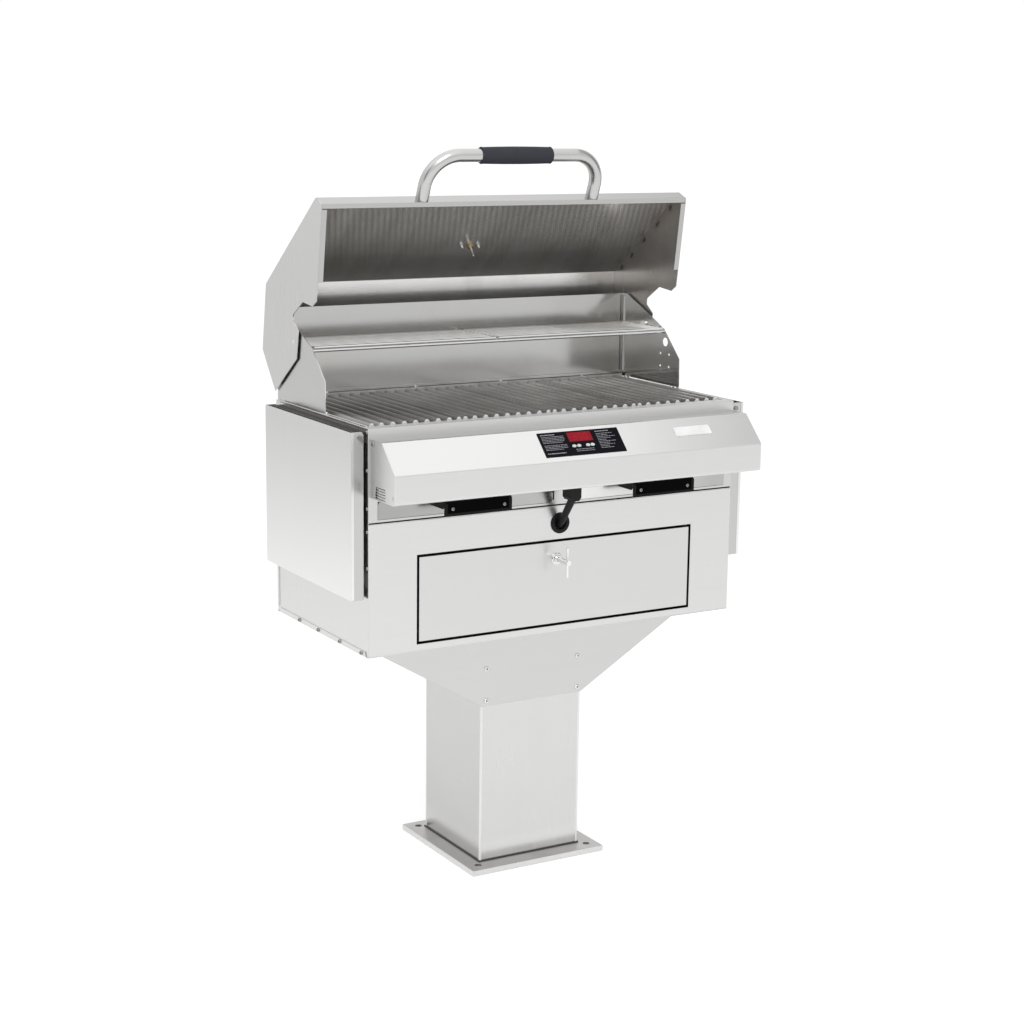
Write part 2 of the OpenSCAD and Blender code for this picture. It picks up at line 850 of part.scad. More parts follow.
// Door and latch
module door() {
    lo = door_low + door_gap;
    hi = door_top - door_gap;
    color(steel) difference() {
        slab(door_x - door_half, door_x + door_half, -hd, -hd + door_deep, lo, hi);
        slab(door_x - door_half + sheet, door_x + door_half - sheet,
            -hd + sheet, -hd + door_deep + 1, lo + sheet, hi - sheet);
        rod_x(door_x - door_half - 1, door_x + door_half + 1, door_y, door_z, pin_r);
        rod_y(-hd - 1, -hd + sheet + 1, latch_x, latch_z, latch_r + round_fit);
    }
}

module door_pins() {
    color(bright) for (s = [-1, 1]) rod_x(
        door_x + s * door_half + (s > 0 ? -6 : -9), door_x + s * door_half + (s > 0 ? 9 : 6),
        door_y, door_z, pin_r);
}

module latch_rose() {
    color(bright) difference() {
        union() {
            rod_y(-hd - 4, -hd, latch_x, latch_z, 12);
            rod_y(-hd - 10, -hd - 4, latch_x, latch_z, 8);
        }
        rod_y(-hd - 11, -hd + 1, latch_x, latch_z, latch_r + round_fit);
    }
}

module latch_handle() {
    color(bright) {
        rod_y(-hd - latch_out, cam_y + 3, latch_x, latch_z, latch_r);
        rod_y(-hd - latch_out, -hd - 11, latch_x, latch_z, latch_r + 1);
        rod_z(latch_z - latch_bar / 2, latch_z + latch_bar / 2, latch_x, -hd - latch_out + 6, bar_r);
        slab(latch_x - cam_len, latch_x + 7, cam_y, cam_y + 3, latch_z - 6, latch_z + 6);
    }
}

// Side shelves
module shelf_flange() {
    polygon([
        [shelf_edge, shelf_low], [shelf_x - sheet, shelf_low], [shelf_x - sheet, shelf_z + shelf_up],
        [shelf_edge + 4, shelf_z + shelf_up], [shelf_edge, shelf_z + shelf_up - 5]
    ]);
}

module shelf() {
    color(steel) difference() {
        union() {
            slab(shelf_x - sheet, shelf_x, shelf_front, shelf_back, shelf_low, shelf_z + shelf_up);
            span_y(shelf_front, shelf_front + sheet) shelf_flange();
            span_y(shelf_back - sheet, shelf_back) shelf_flange();
            slab(shelf_edge, shelf_x - sheet, shelf_front, shelf_back, shelf_low, shelf_low + sheet);
        }
        rod_y(shelf_front - 1, shelf_back + 1, hinge_x, shelf_z, bolt_r + round_fit);
    }
}

module shelf_left() {
    mirror([1, 0, 0]) shelf();
}

module shelf_right() {
    shelf();
}

module shelf_bolts() {
    color(bright) for (s = [0, 1]) mirror([s, 0, 0]) {
        rod_y(shelf_front - 3, shelf_front, hinge_x, shelf_z, bolt_head);
        rod_y(shelf_front, shelf_front + sheet + shelf_play + rail_end, hinge_x, shelf_z, bolt_r);
        rod_y(shelf_back, shelf_back + 3, hinge_x, shelf_z, bolt_head);
        rod_y(shelf_back - sheet - shelf_play - rail_end, shelf_back, hinge_x, shelf_z, bolt_r);
    }
}

// Drip trays
module tray_face() {
    difference() {
        translate([tray_end, tray_low]) square([tray_out - tray_end, tray_top - tray_low]);
        translate([tray_end - 1, tray_low - 1]) square(tray_round + 1);
        translate([tray_out - tray_corner, tray_top - tray_corner]) square(tray_corner + 1);
    }
    translate([tray_end + tray_round, tray_low + tray_round]) circle(tray_round);
    translate([tray_out - tray_corner, tray_top - tray_corner]) circle(tray_corner);
}

module tray() {
    back = -hd + sheet + tray_len;
    color(steel) {
        span_y(-hd, -hd + sheet) tray_face();
        difference() {
            slab(tray_end + 4, tray_out - 2, -hd + sheet, back, runner_z, tray_top - tray_corner);
            slab(tray_end + 4 + sheet, tray_out - 2 - sheet,
                -hd + sheet, back - sheet, runner_z + sheet, tray_top);
        }
    }
}

module tray_left() {
    mirror([1, 0, 0]) tray();
}

module tray_right() {
    tray();
}

module pull_end_plate() {
    polygon([
        [-hd, pull_top - pull_end], [-hd - pull_out + pull_end / 2, pull_top - pull_end],
        [-hd - pull_out + pull_t, pull_top - pull_end / 2], [-hd - pull_out + pull_t, pull_top - 9],
        [-hd - pull_out + 9, pull_top - pull_t], [-hd, pull_top - pull_t]
    ]);
}

module tray_pull() {
    x0 = pull_x - pull_w / 2;
    x1 = pull_x + pull_w / 2;
    color(black) {
        span_x(x0, x1) polygon([
            [-hd, pull_top], [-hd - pull_out + 8, pull_top], [-hd - pull_out, pull_top - 8],
            [-hd - pull_out, pull_low],
            [-hd - pull_out + pull_t, pull_low], [-hd - pull_out + pull_t, pull_top - 9],
            [-hd - pull_out + 9, pull_top - pull_t], [-hd - pull_t, pull_top - pull_t],
            [-hd - pull_t, pull_top - pull_back], [-hd, pull_top - pull_back]
        ]);
        for (x = [x0, x1 - pull_t]) span_x(x, x + pull_t) pull_end_plate();
        for (x = [-54.5, 54.5]) rod_y(-hd - pull_out - 2, -hd - pull_out + 1, pull_x + x, pull_low + 12.5, 3);
    }
}

module tray_pull_left() {
    mirror([1, 0, 0]) tray_pull();
}

module tray_pull_right() {
    tray_pull();
}

// Cooking grates and warming racks
module grate_bar(x, w, low, far) {
    translate([x, 0, 0]) span_y(low, far) polygon([
        [-w / 2, bar_z], [w / 2, bar_z], [w / 2, bar_z + bar_foot], [bar_top / 2, rim_z + grate_up],
        [-bar_top / 2, rim_z + grate_up], [-w / 2, bar_z + bar_foot]
    ]);
}

module grate(i) {
    low = gap_front + grate_fit;
    far = gap_back - grate_fit;
    half = grate_w / 2 - grate_fit;
    color(dark) translate([gap_mid - gap_x + grate_fit + (i + 0.5) * grate_w, 0, 0]) {
        for (k = [0:bar_count - 3]) grate_bar((k - (bar_count - 3) / 2) * bar_pitch, bar_base, low, far);
        for (s = [-1, 1]) grate_bar(s * bar_out, bar_end, low, far);
        for (y = [low, (low + far - cross_w) / 2, far - cross_w])
            slab(-half, half, y, y + cross_w, ledge_z, bar_z);
    }
}

module grate_1() {
    grate(0);
}

module grate_2() {
    grate(1);
}

module grate_3() {
    grate(2);
}

module grate_4() {
    grate(3);
}

module rack() {
    x0 = 3;
    x1 = wing_x - wing_t - 3.3;
    z = rack_z + rail_r + rack_r;
    color(bright) {
        for (y = [rack_front, rack_back]) rod_x(x0, x1, y, z, rack_r);
        for (x = [x0 + 4, (x0 + x1) / 2, x1 - 4]) rod_y(rack_front, rack_back, x, z, wire_r);
        for (k = [1:8]) rod_x(x0, x1, rack_front + k * (rack_back - rack_front) / 9, z + 1.4, wire_r - 0.3);
    }
}

module rack_left() {
    mirror([1, 0, 0]) rack();
}

module rack_right() {
    rack();
}

base_plate();
column();
hopper_front();
hopper_shell();
hopper_screws();
side_panel_left();
side_panel_right();
rear_panel();
lower_front();
floor_pan();
case_screws();
upper_front();
side_rails();
rim_frame();
firebox_liner();
element_rests();
heating_element();
tray_runners();
wing_left();
wing_right();
back_guard();
wing_fasteners();
lid_pivots();
rack_rails();
console_body();
console_caps();
control_module();
badge_plate();
power_plug();
cord_grommet();
power_cord();
shelf_bolts();
button_1();
button_2();
button_3();
button_4();
lid_skin();
lid_end_left();
lid_end_right();
lid_handle();
handle_grip();
thermometer();
door();
door_pins();
latch_rose();
latch_handle();
shelf_left();
shelf_right();
tray_left();
tray_right();
tray_pull_left();
tray_pull_right();
grate_1();
grate_2();
grate_3();
grate_4();
rack_left();
rack_right();
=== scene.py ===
import json
import math
import random

import bmesh
import bpy
from mathutils import Matrix, Vector


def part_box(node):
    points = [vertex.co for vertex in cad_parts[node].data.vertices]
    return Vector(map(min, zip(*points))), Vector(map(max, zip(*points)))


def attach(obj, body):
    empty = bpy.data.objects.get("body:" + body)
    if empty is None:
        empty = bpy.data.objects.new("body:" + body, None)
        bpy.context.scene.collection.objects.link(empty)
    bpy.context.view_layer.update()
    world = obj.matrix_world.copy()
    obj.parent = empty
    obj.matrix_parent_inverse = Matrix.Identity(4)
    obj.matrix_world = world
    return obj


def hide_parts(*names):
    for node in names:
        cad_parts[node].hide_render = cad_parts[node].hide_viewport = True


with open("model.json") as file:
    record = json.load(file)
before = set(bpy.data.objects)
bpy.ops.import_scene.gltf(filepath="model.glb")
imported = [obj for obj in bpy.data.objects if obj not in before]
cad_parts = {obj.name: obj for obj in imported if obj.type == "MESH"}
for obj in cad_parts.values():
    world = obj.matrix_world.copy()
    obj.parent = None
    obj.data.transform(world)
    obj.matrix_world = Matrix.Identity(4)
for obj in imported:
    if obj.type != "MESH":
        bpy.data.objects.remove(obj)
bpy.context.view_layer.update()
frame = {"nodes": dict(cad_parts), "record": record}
NODES = frame["nodes"]
BODY_OF = {node: body for body, names in frame["record"]["behaviour"]["bodies"].items() for node in names}
MM = 0.001
SIDES = (-1, 1)


# Places on the grill, in millimetres
def shift(x, y, z):
    return Matrix.Translation(Vector((x, y, z)) * MM)


def tilt(angle, axis="X"):
    return Matrix.Rotation(math.radians(angle), 4, axis)


def slope_of(start, end):
    """The angle of the way from one (y, z) point to another, in degrees"""
    return math.degrees(math.atan2(end[1] - start[1], end[0] - start[0]))


def extent(node):
    """The lowest and the highest corner of a CAD node, in millimetres"""
    return [[round(c / MM, 3) for c in corner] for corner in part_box(node)]


RIM_Z = 920
FRONT_Y = extent("lower_front")[0][1]
PLATE_HALF, _, PLATE_TOP = extent("base_plate")[1]

# The lid turns about its pivot; its outline is given shut, as (y, height above the rim)
LID_PIVOT = (116, 1043)
LID_OPEN = 82
LIP_FOOT, LIP_TOP, LID_EDGE = (-168, 29.6), (-175, 57.1), (33.8, 262.7)
LID = shift(0, *LID_PIVOT) @ tilt(-LID_OPEN) @ shift(0, -LID_PIVOT[0], -LID_PIVOT[1]) @ shift(0, 0, RIM_Z)
LID_SHUT = LID.inverted()

# Middle of the thermometer on the lid's long slope, and of the handle on the lid's lip
DIAL_X, DIAL_UP = -5, 173
HANDLE_X, HANDLE_OUT = -3, 89
LID_FACE = LID @ shift(0, *LIP_TOP) @ tilt(slope_of(LIP_TOP, LID_EDGE)) @ shift(DIAL_X, DIAL_UP, 0)
LIP_MIDDLE = [(a + b) / 2 for a, b in zip(LIP_FOOT, LIP_TOP)]
LID_LIP = LID @ shift(0, *LIP_MIDDLE) @ tilt(slope_of(LIP_FOOT, LIP_TOP)) @ shift(HANDLE_X, 0, 0)
GRIP = LID_LIP @ shift(0, 0, HANDLE_OUT) @ tilt(90, "Y")

# Top edge of the console's sloped face, whose local Y runs up the slope
CONSOLE_RUN = 52.5
SLOPE = shift(0, extent("console_body")[0][1] + CONSOLE_RUN, extent("console_body")[1][2]) @ tilt(45)
LATCH = shift(-3.5, FRONT_Y, 639) @ tilt(90)
GROMMET = shift(3, FRONT_Y, 709) @ tilt(90)

# Camera: the place, direction and lens found from the photograph, for a square picture
YAW, PITCH, ROLL = (math.radians(a) for a in (30.523, 11.509, -0.753))
CAMERA_AT = Vector((-2.0137, -3.4416, 1.5055))
FOCAL_PIXELS = 2030.17
PICTURE = 1024.0
SENSOR = 36.0


def make_camera():
    ahead = Vector((math.sin(YAW) * math.cos(PITCH), math.cos(YAW) * math.cos(PITCH), -math.sin(PITCH)))
    level = Vector((math.cos(YAW), -math.sin(YAW), 0))
    below = ahead.cross(level)
    right = math.cos(ROLL) * level + math.sin(ROLL) * below
    down = math.cos(ROLL) * below - math.sin(ROLL) * level
    data = bpy.data.cameras.new("camera")
    data.lens = SENSOR * FOCAL_PIXELS / PICTURE
    data.sensor_width = SENSOR
    camera = bpy.data.objects.new("camera", data)
    bpy.context.scene.collection.objects.link(camera)
    turn = Matrix((right, -down, -ahead)).transposed().to_4x4()
    camera.matrix_world = Matrix.Translation(CAMERA_AT) @ turn
    bpy.context.scene.camera = camera


make_camera()


# Shader building
def add(tree, kind, settings=None, **values):
    """A shader node with its settings, and with a value or a link for each socket that is named"""
    node = tree.nodes.new("ShaderNode" + kind)
    for key, value in (settings or {}).items():
        setattr(node, key, value)
    for key, value in values.items():
        feed(tree, node.inputs[key.replace("_", " ")], value)
    return node


def feed(tree, socket, value):
    if isinstance(value, bpy.types.NodeSocket):
        tree.links.new(value, socket)
    else:
        socket.default_value = value


def calc(tree, operation, a, b=0.0, clamp=False):
    node = add(tree, "Math", {"operation": operation, "use_clamp": clamp})
    feed(tree, node.inputs[0], a)
    feed(tree, node.inputs[1], b)
    return node.outputs[0]


def product(tree, a, b):
    return calc(tree, "MULTIPLY", a, b)


def total(tree, a, b):
    return calc(tree, "ADD", a, b)


def less(tree, a, b):
    return calc(tree, "SUBTRACT", a, b)


def ramp(tree, value, low, high, at_low=0.0, at_high=1.0):
    """A straight change from at_low to at_high while the value goes from low to high"""
    node = add(tree, "MapRange", {"clamp": True})
    feed(tree, node.inputs[0], value)
    for socket, number in zip(node.inputs[1:5], (low, high, at_low, at_high)):
        feed(tree, socket, number)
    return node.outputs[0]


def vector_calc(tree, operation, a, b=(0, 0, 0)):
    node = add(tree, "VectorMath", {"operation": operation})
    feed(tree, node.inputs[0], a)
    feed(tree, node.inputs[1], b)
    return node.outputs


def times(tree, vector, factor):
    node = add(tree, "VectorMath", {"operation": "SCALE"})
    feed(tree, node.inputs[0], vector)
    feed(tree, node.inputs["Scale"], factor)
    return node.outputs[0]


def mix(tree, kind, mask, a, b):
    """Goes from a to b with the mask: numbers for the kind FLOAT, colours for RGBA"""
    first, second, result = {"FLOAT": (2, 3, 0), "RGBA": (6, 7, 2)}[kind]
    node = add(tree, "Mix", {"data_type": kind})
    feed(tree, node.inputs["Factor"], mask)
    feed(tree, node.inputs[first], a)
    feed(tree, node.inputs[second], b)
    return node.outputs[result]


def object_place(tree):
    return add(tree, "TexCoord").outputs["Object"]


def split(tree, vector):
    return add(tree, "SeparateXYZ", Vector=vector).outputs


def noise(tree, place, scale, detail, roughness=0.5):
    node = add(tree, "TexNoise", Vector=place, Scale=scale, Detail=detail, Roughness=roughness)
    return node.outputs["Fac"]


def new_group(name, inputs, outputs):
    """A node group with its sockets; an input whose value is a triple is a vector"""
    tree = bpy.data.node_groups.new(name, "ShaderNodeTree")
    for label, value in inputs.items():
        kind = "NodeSocketVector" if isinstance(value, tuple) else "NodeSocketFloat"
        socket = tree.interface.new_socket(name=label, in_out="INPUT", socket_type=kind)
        socket.default_value = value
    for label in outputs:
        tree.interface.new_socket(name=label, in_out="OUTPUT", socket_type="NodeSocketFloat")
    return tree, tree.nodes.new("NodeGroupInput").outputs, tree.nodes.new("NodeGroupOutput").inputs


def make_grain():
    """Lines of brushed or rolled sheet: noise that is fine across the grain and long along it"""
    fine_share, wide_share, cloud_share = 0.3, 0.3, 0.4
    wide_scale = 0.13
    tree, given, out = new_group(
        "sheet_grain",
        {"Stretch": (3, 300, 300), "Depth": 0.1, "Roughness": 0.3, "Spread": 0.1, "Clouds": 5.0},
        ["Tone", "Roughness", "Height"])
    place = object_place(tree)
    lines = vector_calc(tree, "MULTIPLY", place, given["Stretch"])["Vector"]
    fine = noise(tree, lines, 1.0, 2.0)
    wide = noise(tree, times(tree, lines, wide_scale), 1.0, 3.0)
    clouds = noise(tree, place, given["Clouds"], 3.0)
    mixed = total(tree, product(tree, fine, fine_share), product(tree, wide, wide_share))
    mixed = total(tree, mixed, product(tree, clouds, cloud_share))
    centred = less(tree, mixed, 0.5)
    feed(tree, out["Tone"], total(tree, product(tree, centred, given["Depth"]), 1.0))
    feed(tree, out["Roughness"], total(tree, given["Roughness"], product(tree, centred, given["Spread"])))
    feed(tree, out["Height"], fine)
    return tree


def make_patches():
    """Soft patches for stains, wear and heat tint"""
    tree, given, out = new_group(
        "patches", {"Stretch": (1, 1, 1), "Size": 0.1, "Cover": 0.5, "Edge": 0.1}, ["Mask"])
    place = vector_calc(tree, "MULTIPLY", object_place(tree), given["Stretch"])["Vector"]
    cloud = noise(tree, place, calc(tree, "DIVIDE", 1.0, given["Size"]), 4.0, 0.6)
    low = less(tree, less(tree, 1.0, given["Cover"]), given["Edge"])
    spread = product(tree, given["Edge"], 2.0)
    feed(tree, out["Mask"], calc(tree, "DIVIDE", less(tree, cloud, low), spread, clamp=True))
    return tree


def make_pimples():
    """Fine even pimples of powder coat, moulded plastic and foam"""
    tree, given, out = new_group("pimples", {"Size": 0.001, "Tone depth": 0.1}, ["Tone", "Height"])
    grains = noise(tree, object_place(tree), calc(tree, "DIVIDE", 1.0, given["Size"]), 2.0)
    centred = less(tree, grains, 0.5)
    feed(tree, out["Height"], grains)
    feed(tree, out["Tone"], total(tree, product(tree, centred, given["Tone depth"]), 1.0))
    return tree


GRAIN, PATCHES, PIMPLES = make_grain(), make_patches(), make_pimples()
MATERIALS = {}


def use_group(tree, group, **values):
    node = tree.nodes.new("ShaderNodeGroup")
    node.node_tree = group
    for key, value in values.items():
        feed(tree, node.inputs[key.replace("_", " ")], value)
    return node.outputs


def new_material(name, metallic, roughness=0.5):
    material = bpy.data.materials.new(name)
    material.use_nodes = True
    shader = material.node_tree.nodes["Principled BSDF"]
    shader.inputs["Metallic"].default_value = metallic
    shader.inputs["Roughness"].default_value = roughness
    MATERIALS[name] = material
    return material, material.node_tree, shader


def relief(tree, shader, height, strength, distance):
    bump = add(tree, "Bump", Height=height, Strength=strength, Distance=distance)
    tree.links.new(bump.outputs["Normal"], shader.inputs["Normal"])


# Grain directions: stretch of the noise along each axis, per metre
ALONG_X = (3.0, 420.0, 420.0)
ALONG_Y = (420.0, 3.0, 420.0)
ALONG_Z = (420.0, 420.0, 3.0)
X, Y, Z = range(3)
GRAIN_HEIGHT = 0.04 * MM
STAIN_EDGE = 0.16
BAND_LEAN = 0.6
BAND_WANDER = 0.9


def paint_grate_reflection(tree, base, place, pitch, low, high, strength):
    """Painted reflection of grate bars: even leaning stripes across X, which come in from the height low to
    high and wander a little
    """
    wander = use_group(tree, PATCHES, Size=0.2, Cover=0.5, Edge=0.5)["Mask"]
    across = total(tree, place[X], product(tree, place[Z], BAND_LEAN))
    turns = total(tree, product(tree, across, math.tau / pitch), product(tree, wander, BAND_WANDER))
    swing = product(tree, calc(tree, "SINE", turns), ramp(tree, place[Z], low, high, 0, strength))
    return times(tree, base, total(tree, swing, 1.0))


def sheet_metal(name, color, stretch, roughness=0.3, depth=0.1, spread=0.12, stain=None, cover=0.0,
                stain_size=0.16, stain_stretch=(1, 1, 1), clouds=5.0, fade=(), bump=0.12, metallic=1.0,
                bar_reflections=None):
    """Metal with its grain, and where asked stains, painted bar reflections, and fades of (axis, low, high,
    at low, at high), which paint light and shade by place
    """
    material, tree, shader = new_material(name, metallic)
    grain = use_group(tree, GRAIN, Stretch=stretch, Depth=depth, Roughness=roughness, Spread=spread,
                      Clouds=clouds)
    base = times(tree, color, grain["Tone"])
    if stain:
        mask = use_group(tree, PATCHES, Size=stain_size, Cover=cover, Edge=STAIN_EDGE, Stretch=stain_stretch)
        base = mix(tree, "RGBA", mask["Mask"], base, (*stain, 1))
    place = split(tree, object_place(tree))
    if bar_reflections:
        base = paint_grate_reflection(tree, base, place, *bar_reflections)
    for axis, low, high, at_low, at_high in fade:
        base = times(tree, base, ramp(tree, place[axis], low, high, at_low, at_high))
    tree.links.new(base, shader.inputs["Base Color"])
    tree.links.new(grain["Roughness"], shader.inputs["Roughness"])
    relief(tree, shader, grain["Height"], bump, GRAIN_HEIGHT)


def coated(name, color, roughness, pimple, depth=0.12, tone_depth=0.3, strength=0.3, specular=0.5):
    """Paint, plastic, rubber or foam with fine pimples and slightly worn patches"""
    worn_tone = 1.2
    material, tree, shader = new_material(name, 0.0, roughness)
    skin = use_group(tree, PIMPLES, Size=pimple, Tone_depth=tone_depth)
    worn = use_group(tree, PATCHES, Size=0.03, Cover=0.35, Edge=0.2)["Mask"]
    faded = (*(c * worn_tone for c in color), 1)
    base = mix(tree, "RGBA", worn, times(tree, color, skin["Tone"]), faded)
    tree.links.new(base, shader.inputs["Base Color"])
    shader.inputs["Specular IOR Level"].default_value = specular
    relief(tree, shader, skin["Height"], strength, depth * MM)


def glowing(name, color, strength, base):
    """A lit window or digit"""
    material, tree, shader = new_material(name, 0.0, 0.25)
    skin = use_group(tree, PIMPLES, Size=0.003, Tone_depth=0.35)
    tree.links.new(times(tree, base, skin["Tone"]), shader.inputs["Base Color"])
    tree.links.new(times(tree, color, skin["Tone"]), shader.inputs["Emission Color"])
    shader.inputs["Emission Strength"].default_value = strength
    shader.inputs["Specular IOR Level"].default_value = 0.1


# Pedestal, case and shelves
# Floor plate's top: darker than the other steel, a painted reflection of the column's shade, with stains
sheet_metal("steel_base_shaded", (0.520, 0.512, 0.503), ALONG_X, 0.34, 0.30, 0.16, stain=(0.40, 0.385, 0.37),
            cover=0.35)
# Column: painted light just above the foot. Its sides are a darker copy, painted shade, and darker towards
# the bottom
sheet_metal("steel_column", (0.660, 0.660, 0.655), ALONG_Z, 0.26, 0.14, 0.14, clouds=9.0,
            fade=[(Z, 0.012, 0.06, 1.16, 1.0)])
sheet_metal("steel_column_shaded_side", (0.570, 0.568, 0.560), ALONG_Z, 0.26, 0.14, 0.14, clouds=9.0,
            fade=[(Z, 0.0, 0.34, 0.99, 1.04), (Z, 0.01, 0.07, 1.18, 1.0)])
sheet_metal("steel_hopper", (0.615, 0.615, 0.610), ALONG_X, 0.30, 0.10, 0.12)
sheet_metal("steel_front", (0.685, 0.685, 0.680), ALONG_X, 0.30, 0.12, 0.14)
# Upper front, darker than the other fronts: painted shade of the console above it
sheet_metal("steel_upper", (0.620, 0.620, 0.612), ALONG_X, 0.30)
sheet_metal("steel_side", (0.700, 0.700, 0.690), ALONG_Z, 0.28, 0.10, 0.12, bump=0.05)
sheet_metal("steel_door", (0.655, 0.655, 0.648), ALONG_X, 0.30, 0.08, 0.12)
# Near-black steel: painted shade in the gaps round the door, and the dark bead at the column's foot
sheet_metal("gap_steel", (0.10, 0.096, 0.092), ALONG_X, 0.5, 0.2, 0.1)
# Shelves: lighter low and darker high, a painted reflection. Their front and back flanges are a darker copy,
# painted shade
sheet_metal("steel_shelf", (0.790, 0.790, 0.780), ALONG_Z, 0.26, 0.08, 0.12,
            fade=[(Z, 0.60, 0.90, 1.05, 0.89)])
sheet_metal("steel_flange_shaded", (0.56, 0.56, 0.552), ALONG_Z, 0.26, 0.08, 0.12)

# Console and trays
# Console slope: brightest near the middle and darker towards the right end, a painted reflection
sheet_metal("steel_console", (0.715, 0.715, 0.710), ALONG_X, 0.24, 0.10, 0.14,
            fade=[(X, -0.40, 0.06, 1.02, 1.08), (X, 0.06, 0.40, 1.0, 0.86)])
# Console ends: lighter at the front and darker towards the back, painted light and shade
sheet_metal("steel_cap", (0.690, 0.690, 0.680), ALONG_X, 0.30, 0.06, 0.10,
            fade=[(Y, -0.302, -0.203, 1.08, 0.86)], bump=0.05)
sheet_metal("steel_edge", (0.90, 0.90, 0.89), ALONG_X, 0.22, 0.06, 0.10)
# Tray fronts: darker than the other fronts, painted shade under the console, and shaded across as a painted
# reflection: the left one darker towards its left end, the right one lighter near the middle
sheet_metal("steel_tray", (0.560, 0.558, 0.550), ALONG_X, 0.20, 0.20, 0.10,
            fade=[(X, -0.35, 0.0, 0.70, 0.86)])
sheet_metal("steel_tray_right", (0.560, 0.558, 0.550), ALONG_X, 0.20, 0.20, 0.12,
            fade=[(X, 0.05, 0.36, 1.40, 0.84)])

# Lid
sheet_metal("steel_lid", (0.690, 0.688, 0.678), ALONG_X, 0.28, 0.08, 0.12, bump=0.03)
sheet_metal("steel_lid_end", (0.690, 0.688, 0.678), ALONG_Z, 0.28, 0.08, 0.12, bump=0.05)
sheet_metal("lid_lip", (0.475, 0.475, 0.468), ALONG_X, 0.22, 0.06, 0.10)
# Inside of the lid: stains, lighter towards the top as painted light, and striped with a painted reflection
# of the grate bars
sheet_metal("lid_inside", (0.50, 0.488, 0.470), ALONG_X, 0.24, 0.08, 0.12, stain=(0.42, 0.395, 0.365),
            cover=0.42, stain_size=0.5, stain_stretch=(12, 1, 1), fade=[(Z, 1.17, 1.29, 0.98, 1.55)],
            metallic=0.72, bar_reflections=(0.013, 1.17, 1.28, 0.15))
# Front band of the lid's inside: a much lighter copy of the inside, painted light, with stains
sheet_metal("lid_band_lit", (0.90, 0.895, 0.880), ALONG_X, 0.26, 0.10, 0.12, stain=(0.78, 0.765, 0.74),
            cover=0.35, stain_stretch=(4, 1, 1), metallic=0.9)
sheet_metal("lid_end_inside", (0.56, 0.535, 0.505), ALONG_Z, 0.26, 0.14, 0.12, stain=(0.40, 0.37, 0.34),
            cover=0.45, metallic=0.72)

# Cooking space
sheet_metal("steel_rim", (0.720, 0.720, 0.712), ALONG_X, 0.18, 0.12, 0.12)
sheet_metal("rim_land", (0.660, 0.660, 0.650), ALONG_X, 0.48, 0.12, 0.10, metallic=0.3)
# Back guard: darker towards its right end, painted shade, with stains
sheet_metal("steel_guard", (0.500, 0.500, 0.492), ALONG_Z, 0.15, 0.14, 0.10, stain=(0.48, 0.465, 0.445),
            cover=0.35, fade=[(X, 0.20, 0.40, 1.0, 0.84)])
sheet_metal("steel_wing", (0.620, 0.615, 0.605), ALONG_Z, 0.10, 0.18, 0.10, stain=(0.52, 0.49, 0.45),
            cover=0.4)
sheet_metal("steel_wing_outside", (0.630, 0.630, 0.622), ALONG_Z, 0.24, 0.10, 0.12)
# Near-white, nearly matt strips: painted highlights on edges and corners
sheet_metal("bright_fold", (0.93, 0.93, 0.92), ALONG_Z, 0.45, 0.04, 0.10, metallic=0.15)
sheet_metal("ledge_fold", (0.60, 0.595, 0.585), ALONG_X, 0.45, 0.16, 0.10, stain=(0.44, 0.43, 0.41),
            cover=0.4, stain_size=0.03, metallic=0.3)
sheet_metal("steel_liner", (0.34, 0.32, 0.30), ALONG_X, 0.4, 0.3, 0.2, stain=(0.14, 0.10, 0.08), cover=0.5)
# Grate bars: darker low and lighter at their tops, painted shade and highlight, with stains. Their front ends
# are near-white and brighter at the top, a painted highlight
sheet_metal("steel_grate", (0.36, 0.355, 0.35), ALONG_Y, 0.36, 0.3, 0.2, stain=(0.27, 0.26, 0.25),
            cover=0.45, fade=[(Z, 0.9175, 0.9245, 0.45, 1.32)])
sheet_metal("grate_end_highlight", (0.86, 0.86, 0.85), ALONG_Z, 0.30, 0.10, 0.10, fade=[(Z, 0.9205, 0.9225, 0.78, 1.0)])
sheet_metal("element_tube", (0.20, 0.19, 0.18), ALONG_Y, 0.45, 0.4, 0.2, stain=(0.10, 0.08, 0.07), cover=0.4)

# Tubes, wires and fasteners
sheet_metal("chrome", (0.80, 0.80, 0.80), ALONG_X, 0.10, 0.05, 0.06)
sheet_metal("steel_tube", (0.56, 0.56, 0.555), ALONG_X, 0.24, 0.10, 0.10)
sheet_metal("steel_wire", (0.70, 0.70, 0.69), ALONG_X, 0.2, 0.1, 0.1)
sheet_metal("dark_zinc", (0.30, 0.30, 0.29), ALONG_X, 0.3, 0.2, 0.1)
# Dark lining of screw sockets, painted shade
sheet_metal("screw_socket_shade", (0.12, 0.12, 0.12), ALONG_X, 0.4, 0.2, 0.1)
sheet_metal("brass", (0.66, 0.50, 0.30), ALONG_Y, 0.22, 0.1, 0.1)

# Paint, plastic, rubber, foam and film
coated("powder_coat", (0.010, 0.010, 0.011), 0.50, 0.0012, specular=0.12)
